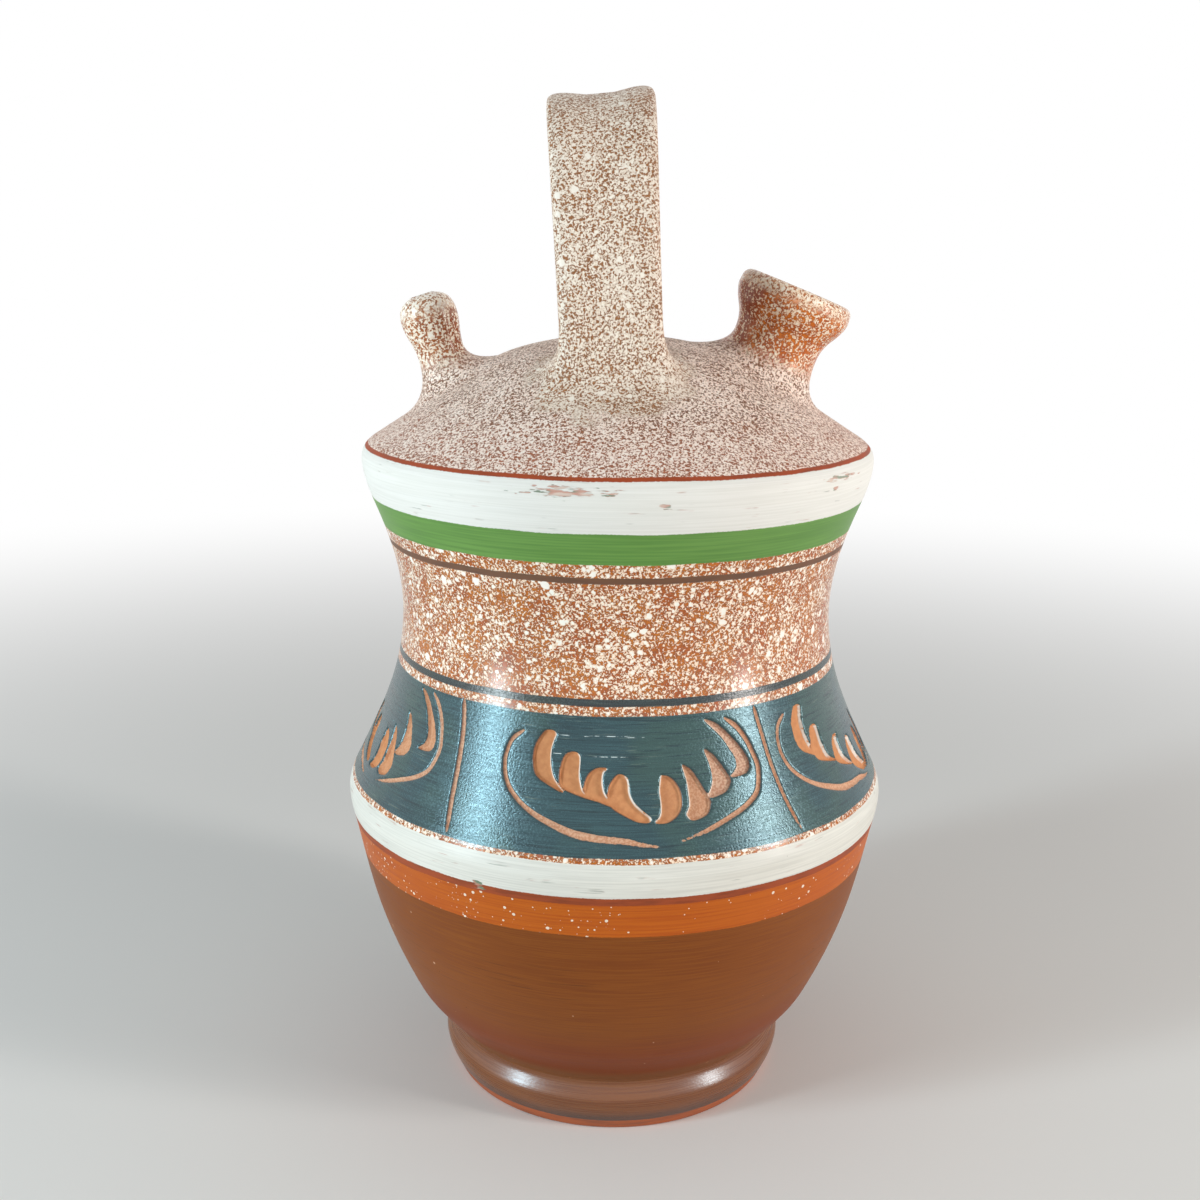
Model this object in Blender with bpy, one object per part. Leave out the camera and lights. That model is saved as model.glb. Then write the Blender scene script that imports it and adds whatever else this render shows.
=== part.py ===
"""A clay water jug with a strap handle over a closed dome, a filling mouth and a drinking spout.

The jug is built up as a potter builds it: a foot ring, a thrown bowl, a waist wall set on the
bowl's rim, a dome that closes the top, and then a mouth, a spout and a pulled strap handle set
on the dome, each with a coil of clay smoothed round its root. Metres, +Z up, the origin on the
ground under the middle of the foot. The mouth leans to +X and the spout to -X.
"""

import math

import bmesh
import bpy
from mathutils import Matrix, Vector

# Clay thickness, and the gap kept between two pieces that touch.
WALL = 0.0065
FLOOR = 0.0070
GAP = 0.0003

# The foot ring, from the ground up.
FOOT_BASE_RADIUS = 0.0528
FOOT_BEAD_SWELL = 0.0040
FOOT_TOP_SWELL = 0.0017
FOOT_WIDTH = 0.0103
FOOT_BEAD_HEIGHT = 0.0108
FOOT_HEIGHT = 0.0175
FOOT_RECESS = 0.0115
FOOT_EDGE = 0.0008
FOOT_BASE_LEAN = 0.45
FOOT_TOP_LEAN = -0.15

# The body's outer line. Each rise starts where the one before it ends, and a lean is how much
# the radius grows for each unit of height. The ridge swells out from the upper belly, and the
# fall over it is drawn in again.
BOWL_TURN_RISE = 0.0165
BOWL_TURN_RADIUS = 0.0675
BELLY_RISE = 0.0260
BELLY_RADIUS = 0.0782
UPPER_BELLY_RISE = 0.0300
UPPER_BELLY_RADIUS = 0.0854
RIDGE_RISE = 0.0096
RIDGE_SWELL = 0.0017
FALL_RISE = 0.0104
FALL_DRAW = 0.0040
HOLLOW_RISE = 0.0220
HOLLOW_RADIUS = 0.0733
WAIST_RISE = 0.0270
WAIST_RADIUS = 0.0685
NECK_RISE = 0.0310
NECK_RADIUS = 0.0753
SHOULDER_RISE = 0.0170
SHOULDER_RADIUS = 0.0802
FOOT_LEAN = 0.85
BOWL_TURN_LEAN = 0.50
BELLY_LEAN = 0.32
UPPER_BELLY_LEAN = 0.22
FALL_LEAN = -0.48
HOLLOW_LEAN = -0.36
NECK_LEAN = 0.39

# The dome, from its edge inwards. The slopes are the rise for each unit of radius.
DOME_EDGE_RISE = 0.0032
DOME_SLOPE = -0.62
DOME_CROWN_RADIUS = 0.0420
DOME_CROWN_RISE = 0.0246
DOME_CAP_RADIUS = 0.0220
DOME_CAP_RISE = 0.0070
DOME_CAP_SLOPE = -0.20
DOME_TIP_RISE = 0.0019
SHOULDER_ROUND = 0.0036

# The stepped laps by which the sections sit in each other.
RIDGE_LAP = 0.0040
SHOULDER_LAP = 0.0030
SHOULDER_DROP = 0.0045

# The filling mouth. Its axis leaves the dome at the seat, this far from the middle, and its
# straight neck, throat, flare and collar follow one another up to the rim.
MOUTH_SEAT = 0.0455
MOUTH_TILT = math.radians(22)
MOUTH_NECK_LENGTH = 0.0098
MOUTH_NECK_RADIUS = 0.0137
MOUTH_THROAT_LENGTH = 0.0062
MOUTH_FLARE_RADIUS = 0.0152
MOUTH_FLARE_LENGTH = 0.0050
MOUTH_COLLAR_RADIUS = 0.0174
MOUTH_COLLAR_LENGTH = 0.0046
MOUTH_RIM_RADIUS = 0.0179
MOUTH_LIP = 0.0023
MOUTH_BORE = 0.0095
MOUTH_FLARE_LEAN = 0.50
MOUTH_COLLAR_LEAN = 0.20
MOUTH_CUP_LEAN = 0.50

# The drinking spout, a straight neck that swells to a small round knob.
SPOUT_SEAT = 0.0522
SPOUT_TILT = math.radians(18)
SPOUT_NECK_LENGTH = 0.0110
SPOUT_NECK_RADIUS = 0.0074
SPOUT_SWELL_LENGTH = 0.0102
SPOUT_KNOB_RADIUS = 0.0089
SPOUT_KNOB_LENGTH = 0.0076
SPOUT_KNOB_POWER = 2.6
SPOUT_HOLE = 0.0026
SPOUT_BORE = 0.0042

# The strap handle, an arch from front to back that leans a little to the spout's side.
HANDLE_REACH = 0.0370
HANDLE_RISE = 0.0734
HANDLE_LEG = 0.0130
HANDLE_ARCH_POWER = 2.5
HANDLE_TOP_WIDTH = 0.0322
HANDLE_LEG_WIDTH = 0.0299
HANDLE_THICKNESS = 0.0095
HANDLE_GROOVE = 0.0020
HANDLE_HIGH_EDGE = 0.0007
HANDLE_EDGE_POWER = 4.4
HANDLE_SHIFT = -0.0020
HANDLE_LEAN = math.radians(3)

# The coils smoothed round the roots: how far they spread over the dome, how thin they end, and
# how far they stop below the end of the straight neck or leg that they go round.
MOUTH_COIL_SPREAD = 0.0080
SPOUT_COIL_SPREAD = 0.0100
HANDLE_COIL_SPREAD = 0.0090
COIL_EDGE = 0.0008
COIL_STOP = 0.0008

# How far along a line the dome is looked for, and the length of the tools that pierce it.
DOME_SEARCH = 0.0330
PIERCER_LENGTH = 0.0390

# How finely the round forms are cut up.
BODY_STEPS = 52
TUBE_STEPS = 28
STRAP_STEPS = 20
ARCH_STEPS = 24

# Sizes worked out from those above.
FOOT_TOP_RADIUS = FOOT_BASE_RADIUS + FOOT_TOP_SWELL
FOOT_HOLE_RADIUS = FOOT_BASE_RADIUS - FOOT_WIDTH
FOOT_SEAT_RADIUS = FOOT_HOLE_RADIUS + WALL / 2
RIDGE_RADIUS = UPPER_BELLY_RADIUS + RIDGE_SWELL
FALL_RADIUS = RIDGE_RADIUS - FALL_DRAW
BOWL_TURN_Z = FOOT_HEIGHT + BOWL_TURN_RISE
BELLY_Z = BOWL_TURN_Z + BELLY_RISE
UPPER_BELLY_Z = BELLY_Z + UPPER_BELLY_RISE
RIDGE_Z = UPPER_BELLY_Z + RIDGE_RISE
FALL_Z = RIDGE_Z + FALL_RISE
HOLLOW_Z = FALL_Z + HOLLOW_RISE
WAIST_Z = HOLLOW_Z + WAIST_RISE
NECK_Z = WAIST_Z + NECK_RISE
SHOULDER_Z = NECK_Z + SHOULDER_RISE
DOME_EDGE_Z = SHOULDER_Z + DOME_EDGE_RISE
CROWN_Z = DOME_EDGE_Z + DOME_CROWN_RISE
CAP_Z = CROWN_Z + DOME_CAP_RISE
TIP_Z = CAP_Z + DOME_TIP_RISE
SHOULDER_JOINT_Z = SHOULDER_Z - SHOULDER_DROP

BODY_LINE = (
    (FOOT_HEIGHT, FOOT_TOP_RADIUS, FOOT_LEAN),
    (BOWL_TURN_Z, BOWL_TURN_RADIUS, BOWL_TURN_LEAN),
    (BELLY_Z, BELLY_RADIUS, BELLY_LEAN),
    (UPPER_BELLY_Z, UPPER_BELLY_RADIUS, UPPER_BELLY_LEAN),
    (RIDGE_Z, RIDGE_RADIUS, 0.0),
    (FALL_Z, FALL_RADIUS, FALL_LEAN),
    (HOLLOW_Z, HOLLOW_RADIUS, HOLLOW_LEAN),
    (WAIST_Z, WAIST_RADIUS, 0.0),
    (NECK_Z, NECK_RADIUS, NECK_LEAN),
    (SHOULDER_Z, SHOULDER_RADIUS, 0.0),
)
DOME_LINE = (
    (0.0, TIP_Z, 0.0),
    (DOME_CAP_RADIUS, CAP_Z, DOME_CAP_SLOPE),
    (DOME_CROWN_RADIUS, CROWN_Z, DOME_SLOPE),
    (SHOULDER_RADIUS, DOME_EDGE_Z, DOME_SLOPE),
)


def smooth_line(stations, at):
    """The value and slope at one place of a curve through (place, value, slope) stations."""
    low, high = stations[0], stations[1]
    for nearer, further in zip(stations[1:-1], stations[2:]):
        if at > nearer[0]:
            low, high = nearer, further
    span = high[0] - low[0]
    share = min(max((at - low[0]) / span, 0.0), 1.0)
    back = 1.0 - share
    value = (
        low[1] * (1 + 2 * share) * back * back
        + low[2] * span * share * back * back
        + high[1] * share * share * (3 - 2 * share)
        - high[2] * span * share * share * back
    )
    slope = (
        6 * share * back * (high[1] - low[1]) / span
        + low[2] * back * (1 - 3 * share)
        + high[2] * share * (3 * share - 2)
    )
    return value, slope


def spaced(start, end, count):
    """Evenly spaced values from start to end, both included."""
    return [start + (end - start) * step / (count - 1) for step in range(count)]


def body_outer(height):
    return smooth_line(BODY_LINE, height)[0]


def body_inner(height, share=1.0):
    """The radius a share of the wall's thickness inside the body's outer line."""
    radius, lean = smooth_line(BODY_LINE, height)
    return radius - share * WALL * math.hypot(1, lean)


def dome_top(radius, lift=0.0):
    """The height of the dome's outside, raised by a lift that is measured square to it."""
    height, slope = smooth_line(DOME_LINE, radius)
    return height + lift * math.hypot(1, slope)


def bent(start, corner, end, count):
    """Points along a rounded corner from start to end, both included."""
    points = []
    for share in spaced(0.0, 1.0, count):
        back = 1.0 - share
        points.append(
            tuple(
                back * back * a + 2 * back * share * b + share * share * c
                for a, b, c in zip(start, corner, end)
            )
        )
    return points


def clay(name, red, green, blue, roughness):
    """A material of one fired colour, given as it looks on a screen, from 0 to 255."""
    material = bpy.data.materials.new(name)
    material.use_nodes = True
    shader = material.node_tree.nodes["Principled BSDF"]
    levels = [((level / 255 + 0.055) / 1.055) ** 2.4 for level in (red, green, blue)]
    shader.inputs["Base Color"].default_value = (*levels, 1.0)
    shader.inputs["Roughness"].default_value = roughness
    shader.inputs["Metallic"].default_value = 0.0
    return material


def add_object(name, mesh, material):
    mesh.materials.append(material)
    mesh.shade_smooth()
    mesh.set_sharp_from_angle(angle=math.radians(40))
    piece = bpy.data.objects.new(name, mesh)
    bpy.context.scene.collection.objects.link(piece)
    return piece


def turned(name, profile, material, is_ring):
    """A piece turned on the wheel from (radius, height) points that run down its outer side."""
    mesh = bpy.data.meshes.new(name)
    edges = [(step, step + 1) for step in range(len(profile) - 1)]
    if is_ring:
        edges.append((len(profile) - 1, 0))
    mesh.from_pydata([(radius, 0.0, height) for radius, height in profile], edges, [])
    piece = add_object(name, mesh, material)
    wheel = piece.modifiers.new("wheel", "SCREW")
    wheel.axis = "Z"
    wheel.angle = math.tau
    wheel.steps = wheel.render_steps = BODY_STEPS
    wheel.use_merge_vertices = True
    wheel.merge_threshold = 0.00005
    wheel.use_smooth_shade = True
    return piece


def lofted(name, rings, material, is_closed):
    """A skin over rings of points. A closed one runs round to its first ring, like a tyre."""
    shape = bmesh.new()
    loops = [[shape.verts.new(point) for point in ring] for ring in rings]
    pairs = list(zip(loops, loops[1:]))
    if is_closed:
        pairs.append((loops[-1], loops[0]))
    for first, second in pairs:
        for step in range(len(first)):
            after = (step + 1) % len(first)
            shape.faces.new((first[step], first[after], second[after], second[step]))
    if not is_closed:
        for loop in (loops[0], loops[-1]):
            bmesh.ops.pointmerge(shape, verts=loop, merge_co=loop[0].co)
    bmesh.ops.recalc_face_normals(shape, faces=shape.faces)
    mesh = bpy.data.meshes.new(name)
    shape.to_mesh(mesh)
    shape.free()
    return add_object(name, mesh, material)


def circle(radius):
    """A round outline, as the function of a step that coil() and tube() take."""

    def outline(step, outset):
        turn = math.tau * step / TUBE_STEPS
        return (radius + outset) * math.cos(turn), (radius + outset) * math.sin(turn)

    return outline


def strap_outline(step, outset, width=HANDLE_LEG_WIDTH, working=0.0):
    """The strap's cross-section, a soft-edged bar. Working it gives its outer face a hollow
    between two edges, the one on the mouth's side the higher."""
    turn = math.tau * (step + 0.5) / STRAP_STEPS
    across, through = math.cos(turn), math.sin(turn)
    power = 2 / HANDLE_EDGE_POWER
    x = math.copysign(abs(across) ** power, across)
    y = math.copysign(abs(through) ** power, through)
    normal = Vector(
        (
            math.copysign(abs(x) ** (HANDLE_EDGE_POWER - 1), x) / width,
            math.copysign(abs(y) ** (HANDLE_EDGE_POWER - 1), y) / HANDLE_THICKNESS,
        )
    ).normalized()
    raised = HANDLE_HIGH_EDGE * x - HANDLE_GROOVE * math.cos(x * math.pi / 2) ** 2
    return (
        x * width / 2 + outset * normal.x,
        y * HANDLE_THICKNESS / 2 + working * raised * max(y, 0.0) + outset * normal.y,
    )


def seat_frame(seat, tilt):
    """The frame of a tube that leaves the dome at radius seat, its Z along the tube."""
    side = math.copysign(1.0, seat)
    turn = Matrix.Rotation(side * tilt, 4, "Y")
    return Matrix.Translation((seat, 0.0, dome_top(abs(seat)))) @ turn


def on_dome(frame, x, y, lift):
    """The point of the line through (x, y) along the frame's Z that lies lift above the dome."""
    low, high = -DOME_SEARCH, DOME_SEARCH
    for _ in range(40):
        middle = (low + high) / 2
        point = frame @ Vector((x, y, middle))
        if point.z > dome_top(math.hypot(point.x, point.y), lift):
            high = middle
        else:
            low = middle
    return frame @ Vector((x, y, middle))


def tube(name, frame, profile, foot_radius, bore, material):
    """A round tube of (radius, height) points that ends on the dome, open right through."""
    rings = []
    for radius, height in profile:
        outline = circle(radius)
        steps = range(TUBE_STEPS)
        rings.append([frame @ Vector((*outline(step, 0.0), height)) for step in steps])
    for radius in (bore, foot_radius):
        outline = circle(radius)
        steps = range(TUBE_STEPS)
        rings.append([on_dome(frame, *outline(step, 0.0), GAP) for step in steps])
    return lofted(name, rings, material, is_closed=True)


def coil(name, frame, outline, steps, straight, spread, material):
    """A coil of clay smoothed from the straight root of a tube or strap out onto the dome."""
    rise = straight - COIL_STOP
    rings = [[] for _ in range(9)]
    for step in range(steps):
        inner = outline(step, GAP)
        top = outline(step, GAP + COIL_EDGE)
        middle = outline(step, spread / 2)
        outer = outline(step, spread)
        crest = frame @ Vector((*top, rise))
        sweep = bent(
            crest,
            on_dome(frame, *top, GAP + COIL_EDGE),
            on_dome(frame, *outer, GAP + COIL_EDGE),
            5,
        )
        points = [
            on_dome(frame, *inner, GAP),
            frame @ Vector((*inner, rise)),
            *map(Vector, sweep),
            on_dome(frame, *outer, GAP),
            on_dome(frame, *middle, GAP),
        ]
        for ring, point in zip(rings, points):
            ring.append(point)
    return lofted(name, rings, material, is_closed=True)


def pierce(piece, name, frame, radius):
    """Cuts a round hole through the dome along a tube's axis."""
    mesh = bpy.data.meshes.new(name)
    shape = bmesh.new()
    bmesh.ops.create_cone(
        shape,
        cap_ends=True,
        segments=TUBE_STEPS,
        radius1=radius,
        radius2=radius,
        depth=PIERCER_LENGTH,
    )
    shape.to_mesh(mesh)
    shape.free()
    cutter = bpy.data.objects.new(name, mesh)
    cutter.matrix_world = frame
    cutter.hide_render = True
    cutter.display_type = "WIRE"
    bpy.context.scene.collection.objects.link(cutter)
    hole = piece.modifiers.new(name, "BOOLEAN")
    hole.operation = "DIFFERENCE"
    hole.solver = "EXACT"
    hole.object = cutter


def make_foot_ring():
    bead = (
        (0.0, FOOT_BASE_RADIUS, FOOT_BASE_LEAN),
        (FOOT_BEAD_HEIGHT, FOOT_BASE_RADIUS + FOOT_BEAD_SWELL, 0.0),
        (FOOT_HEIGHT, FOOT_TOP_RADIUS, FOOT_TOP_LEAN),
    )
    top = FOOT_HEIGHT - GAP
    recess = FOOT_RECESS - GAP
    profile = [(smooth_line(bead, z)[0], z) for z in spaced(top, FOOT_EDGE, 9)]
    profile += [
        (FOOT_BASE_RADIUS - FOOT_EDGE, 0.0),
        (FOOT_HOLE_RADIUS, 0.0),
        (FOOT_HOLE_RADIUS + FOOT_EDGE, recess),
        (FOOT_SEAT_RADIUS, recess),
    ]
    material = clay("foot_slip", 128, 88, 58, 0.35)
    return turned("foot_ring", profile, material, is_ring=True)


def make_lower_bowl():
    """The bowl with its floor, up to the ridge, where a thin inner lip stands up."""
    floor = FOOT_RECESS + FLOOR
    turn = BOWL_TURN_Z - FLOOR / 2
    lip = RIDGE_Z + RIDGE_LAP
    half = 0.5 + GAP / WALL / 2
    turn_radius = body_inner(turn)
    inside = bent(
        (turn_radius - 2 * FLOOR, floor), (turn_radius - FLOOR / 2, floor), (turn_radius, turn), 5
    )
    profile = [(0.0, floor), *inside]
    profile += [(body_inner(z), z) for z in spaced(turn, lip, 7)[1:]]
    profile += [(body_inner(lip, half), lip), (body_inner(RIDGE_Z, half), RIDGE_Z)]
    profile += [(body_outer(z), z) for z in spaced(RIDGE_Z, UPPER_BELLY_Z, 4)]
    profile += [(body_outer(z), z) for z in spaced(UPPER_BELLY_Z, BOWL_TURN_Z, 6)[1:]]
    profile += [(body_outer(z), z) for z in spaced(BOWL_TURN_Z, FOOT_HEIGHT, 6)[1:]]
    profile += [(FOOT_SEAT_RADIUS, FOOT_RECESS), (0.0, FOOT_RECESS)]
    material = clay("bowl_slip", 125, 78, 42, 0.6)
    return turned("lower_bowl", profile, material, is_ring=False)


def make_waist_wall():
    """The wall from the ridge through the waist to the shoulder, stepped at both ends."""
    half = 0.5 - GAP / WALL / 2
    low = RIDGE_Z + GAP
    low_step = RIDGE_Z + RIDGE_LAP + GAP
    high = SHOULDER_JOINT_Z
    high_step = SHOULDER_JOINT_Z + SHOULDER_LAP
    lip_half = 0.5 + GAP / WALL / 2
    profile = [(body_inner(high, lip_half), high_step), (body_inner(high, lip_half), high)]
    profile += [(body_outer(z), z) for z in spaced(high, WAIST_Z, 8)]
    profile += [(body_outer(z), z) for z in spaced(WAIST_Z, FALL_Z, 7)[1:]]
    profile += [(body_outer(z), z) for z in spaced(FALL_Z, low, 4)[1:]]
    profile += [(body_inner(low, half), low), (body_inner(low_step, half), low_step)]
    profile += [(body_inner(z), z) for z in spaced(low_step, high, 8)]
    profile += [(body_inner(high), high_step)]
    material = clay("waist_slip", 78, 92, 90, 0.45)
    return turned("waist_wall", profile, material, is_ring=True)


def make_dome(mouth, spout):
    """The closed dome with its turned-down rim, pierced under the mouth and the spout."""
    low = SHOULDER_JOINT_Z + GAP
    step = SHOULDER_JOINT_Z + SHOULDER_LAP + GAP
    bend = SHOULDER_RADIUS - SHOULDER_ROUND
    crown = spaced(DOME_CAP_RADIUS, DOME_CROWN_RADIUS, 4)
    profile = [(r, dome_top(r)) for r in (0.0, DOME_CAP_RADIUS / 2)]
    profile += [(r, dome_top(r)) for r in crown]
    profile += [(r, dome_top(r)) for r in spaced(DOME_CROWN_RADIUS, bend, 4)[1:]]
    corner = (SHOULDER_RADIUS, DOME_EDGE_Z)
    profile += bent((bend, dome_top(bend)), corner, (SHOULDER_RADIUS, SHOULDER_Z), 5)[1:]
    rim_half = 0.5 - GAP / WALL / 2
    rim = body_inner(SHOULDER_JOINT_Z, rim_half)
    inside = body_inner(SHOULDER_JOINT_Z)
    profile += [(body_outer(low), low), (rim, low), (rim, step), (inside, step)]
    inner_bend = inside - WALL
    profile += bent(
        (inside, step), (inside, dome_top(inside, -WALL)), (inner_bend, dome_top(inner_bend, -WALL)), 3
    )[1:]
    profile += [(r, dome_top(r, -WALL)) for r in spaced(inner_bend, DOME_CROWN_RADIUS, 3)[1:]]
    profile += [(r, dome_top(r, -WALL)) for r in reversed(crown[:-1])]
    profile += [(0.0, dome_top(0.0, -WALL))]
    dome = turned("dome", profile, clay("dome_speckle", 196, 165, 142, 0.75), is_ring=False)
    pierce(dome, "mouth_hole_cutter", mouth, MOUTH_BORE)
    pierce(dome, "spout_hole_cutter", spout, SPOUT_BORE)
    return dome


def make_filling_mouth(frame):
    """A small flared cup with a rolled lip, which narrows to the neck."""
    flare = MOUTH_NECK_LENGTH + MOUTH_THROAT_LENGTH
    collar = flare + MOUTH_FLARE_LENGTH
    rim = collar + MOUTH_COLLAR_LENGTH
    lip_radius = MOUTH_RIM_RADIUS - MOUTH_LIP
    outside = (
        (MOUTH_NECK_LENGTH, MOUTH_NECK_RADIUS, 0.0),
        (flare, MOUTH_FLARE_RADIUS, MOUTH_FLARE_LEAN),
        (collar, MOUTH_COLLAR_RADIUS, MOUTH_COLLAR_LEAN),
        (rim, MOUTH_RIM_RADIUS, 0.0),
    )
    cup_radius = lip_radius - MOUTH_LIP
    inside = ((MOUTH_NECK_LENGTH, MOUTH_BORE, 0.0), (rim, cup_radius, MOUTH_CUP_LEAN))
    profile = [(smooth_line(outside, z)[0], z) for z in spaced(MOUTH_NECK_LENGTH, collar, 7)]
    for turn in spaced(0.0, math.pi, 6):
        across = lip_radius + MOUTH_LIP * math.cos(turn)
        profile.append((across, rim + MOUTH_LIP * math.sin(turn)))
    profile += [(smooth_line(inside, z)[0], z) for z in spaced(rim, MOUTH_NECK_LENGTH, 5)[1:]]
    material = clay("mouth_speckle", 178, 118, 78, 0.4)
    return tube("filling_mouth", frame, profile, MOUTH_NECK_RADIUS, MOUTH_BORE, material)


def make_drinking_spout(frame):
    """A short neck that swells to a round-ended knob with a small hole in its tip."""
    knob = SPOUT_NECK_LENGTH + SPOUT_SWELL_LENGTH
    end = knob + SPOUT_KNOB_LENGTH
    power = 2 / SPOUT_KNOB_POWER
    neck = ((SPOUT_NECK_LENGTH, SPOUT_NECK_RADIUS, 0.0), (knob, SPOUT_KNOB_RADIUS, 0.0))
    profile = [(smooth_line(neck, z)[0], z) for z in spaced(SPOUT_NECK_LENGTH, knob, 6)]
    for turn in spaced(0.0, math.pi / 2, 8)[1:-1]:
        radius = SPOUT_KNOB_RADIUS * math.cos(turn) ** power
        if radius > SPOUT_HOLE + 2 * GAP:
            profile.append((radius, knob + SPOUT_KNOB_LENGTH * math.sin(turn) ** power))
    profile += [(SPOUT_HOLE + GAP, end), (SPOUT_HOLE, end - GAP)]
    profile += [(SPOUT_HOLE, knob), (SPOUT_BORE, SPOUT_NECK_LENGTH)]
    material = clay("spout_speckle", 176, 112, 62, 0.4)
    return tube("drinking_spout", frame, profile, SPOUT_NECK_RADIUS, SPOUT_BORE, material)


def handle_frame():
    """The frame of the arch: its Y runs from the front leg to the rear one, its Z up the middle."""
    base = Matrix.Translation((HANDLE_SHIFT, 0.0, dome_top(HANDLE_REACH)))
    return base @ Matrix.Rotation(-HANDLE_LEAN, 4, "Y")


def leg_frames(arch):
    """The frames of the handle's two roots, their Y facing away from the arch's middle."""
    front = arch @ Matrix.Translation((0.0, -HANDLE_REACH, 0.0)) @ Matrix.Rotation(math.pi, 4, "Z")
    rear = arch @ Matrix.Translation((0.0, HANDLE_REACH, 0.0))
    return front, rear


def strap_end(frame, side):
    """Rings that close one end of the strap against the dome, from the middle outwards."""
    rings = []
    for share in (0.0, 1 / 3, 2 / 3, 1.0):
        points = [strap_outline(step, 0.0) for step in range(STRAP_STEPS)]
        rings.append([on_dome(frame, side * x * share, y * share, GAP) for x, y in points])
    return rings


def make_strap_handle():
    """A strap pulled into an arch on two straight legs, its ends cut to sit on the dome."""
    arch = handle_frame()
    front, rear = leg_frames(arch)
    crown = TIP_Z + HANDLE_RISE - HANDLE_THICKNESS / 2 - dome_top(HANDLE_REACH) - HANDLE_LEG
    power = 2 / HANDLE_ARCH_POWER
    rings = strap_end(front, -1)
    for turn in spaced(0.0, math.pi, ARCH_STEPS):
        along, up = -math.cos(turn), math.sin(turn)
        rise = up**power
        centre = Vector(
            (0.0, math.copysign(abs(along) ** power, along) * HANDLE_REACH, HANDLE_LEG + rise * crown)
        )
        normal = Vector(
            (
                0.0,
                math.copysign(abs(along) ** (2 - power), along) / HANDLE_REACH,
                up ** (2 - power) / crown,
            )
        ).normalized()
        width = HANDLE_LEG_WIDTH + (HANDLE_TOP_WIDTH - HANDLE_LEG_WIDTH) * rise * rise
        outline = [strap_outline(step, 0.0, width, rise * rise) for step in range(STRAP_STEPS)]
        rings.append([arch @ (centre + Vector((x, 0.0, 0.0)) + normal * y) for x, y in outline])
    rings += reversed(strap_end(rear, 1))
    return lofted("strap_handle", rings, clay("handle_speckle", 198, 172, 146, 0.7), is_closed=False)


def clear_scene():
    for piece in list(bpy.data.objects):
        bpy.data.objects.remove(piece, do_unlink=True)


def main():
    clear_scene()
    mouth = seat_frame(MOUTH_SEAT, MOUTH_TILT)
    spout = seat_frame(-SPOUT_SEAT, SPOUT_TILT)
    make_foot_ring()
    make_lower_bowl()
    make_waist_wall()
    make_dome(mouth, spout)
    make_filling_mouth(mouth)
    make_drinking_spout(spout)
    make_strap_handle()
    round_coils = (
        ("mouth_coil", mouth, MOUTH_NECK_RADIUS, MOUTH_NECK_LENGTH, MOUTH_COIL_SPREAD),
        ("spout_coil", spout, SPOUT_NECK_RADIUS, SPOUT_NECK_LENGTH, SPOUT_COIL_SPREAD),
    )
    for name, frame, radius, straight, spread in round_coils:
        material = clay(name, 186, 148, 120, 0.6)
        coil(name, frame, circle(radius), TUBE_STEPS, straight, spread, material)
    for name, frame in zip(("front_handle_coil", "rear_handle_coil"), leg_frames(handle_frame())):
        material = clay(name, 198, 168, 145, 0.7)
        coil(name, frame, strap_outline, STRAP_STEPS, HANDLE_LEG, HANDLE_COIL_SPREAD, material)


main()
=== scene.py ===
import math

import bmesh
import bpy
import numpy as np
from mathutils import Matrix, Vector


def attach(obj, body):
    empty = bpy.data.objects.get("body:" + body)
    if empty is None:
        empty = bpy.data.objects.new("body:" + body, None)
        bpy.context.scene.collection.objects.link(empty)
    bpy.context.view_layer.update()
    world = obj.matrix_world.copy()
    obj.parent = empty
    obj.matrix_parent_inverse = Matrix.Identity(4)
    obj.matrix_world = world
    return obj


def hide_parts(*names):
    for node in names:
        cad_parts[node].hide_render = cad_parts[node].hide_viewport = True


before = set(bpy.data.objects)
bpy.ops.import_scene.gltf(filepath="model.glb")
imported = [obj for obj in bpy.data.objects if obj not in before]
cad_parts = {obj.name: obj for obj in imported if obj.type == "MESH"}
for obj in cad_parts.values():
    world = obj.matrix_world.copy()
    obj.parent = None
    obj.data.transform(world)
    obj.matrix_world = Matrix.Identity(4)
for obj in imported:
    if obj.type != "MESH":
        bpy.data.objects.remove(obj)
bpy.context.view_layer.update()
mm = 0.001

# Everything is measured in millimetres and made metres when a piece is finished.
clayWall = 6.5
footTop = 17.5
ridgeAt = 99.6  # the height of the sharp ridge, where the bowl ends
weld = 0.0005  # points closer than this are made one
wedges = 16  # a turning is spun as one wedge, and copies of it close the round
sharpFrom = 40  # faces that meet at more than this many degrees keep a sharp edge

# The jug's outside as (height, radius, lean), and its dome as (radius, height, slope).
bodyLine = (
    (footTop, 54.85, 0.25),
    (20.0, 56.6, 0.85),
    (34.0, 67.5, 0.50),
    (60.0, 78.2, 0.32),
    (90.0, 85.4, 0.22),
    (ridgeAt, 87.1, 0.0),
    (110.0, 83.1, -0.48),
    (132.0, 73.3, -0.36),
    (159.0, 68.5, 0.0),
    (190.0, 75.3, 0.39),
    (207.0, 80.2, 0.0),
)
domeLine = ((0.0, 243.7, 0.0), (22.0, 241.8, -0.20), (42.0, 234.8, -0.62), (80.2, 210.2, -0.62))


def lineAt(stations, at):  # value and slope of the smooth curve through the stations
    spans = list(zip(stations, stations[1:]))
    low, high = next((pair for pair in spans if at <= pair[1][0]), spans[-1])
    span = high[0] - low[0]
    share = min(max((at - low[0]) / span, 0.0), 1.0)
    back = 1.0 - share
    value = low[1] * (1 + 2 * share) * back * back + high[1] * share * share * (3 - 2 * share)
    value += span * share * back * (low[2] * back - high[2] * share)
    slope = 6 * share * back * (high[1] - low[1]) / span
    slope += low[2] * back * (1 - 3 * share) + high[2] * share * (3 * share - 2)
    return value, slope


def outside(low, high, count):
    return [(lineAt(bodyLine, z)[0], z) for z in np.linspace(low, high, count)]


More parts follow.
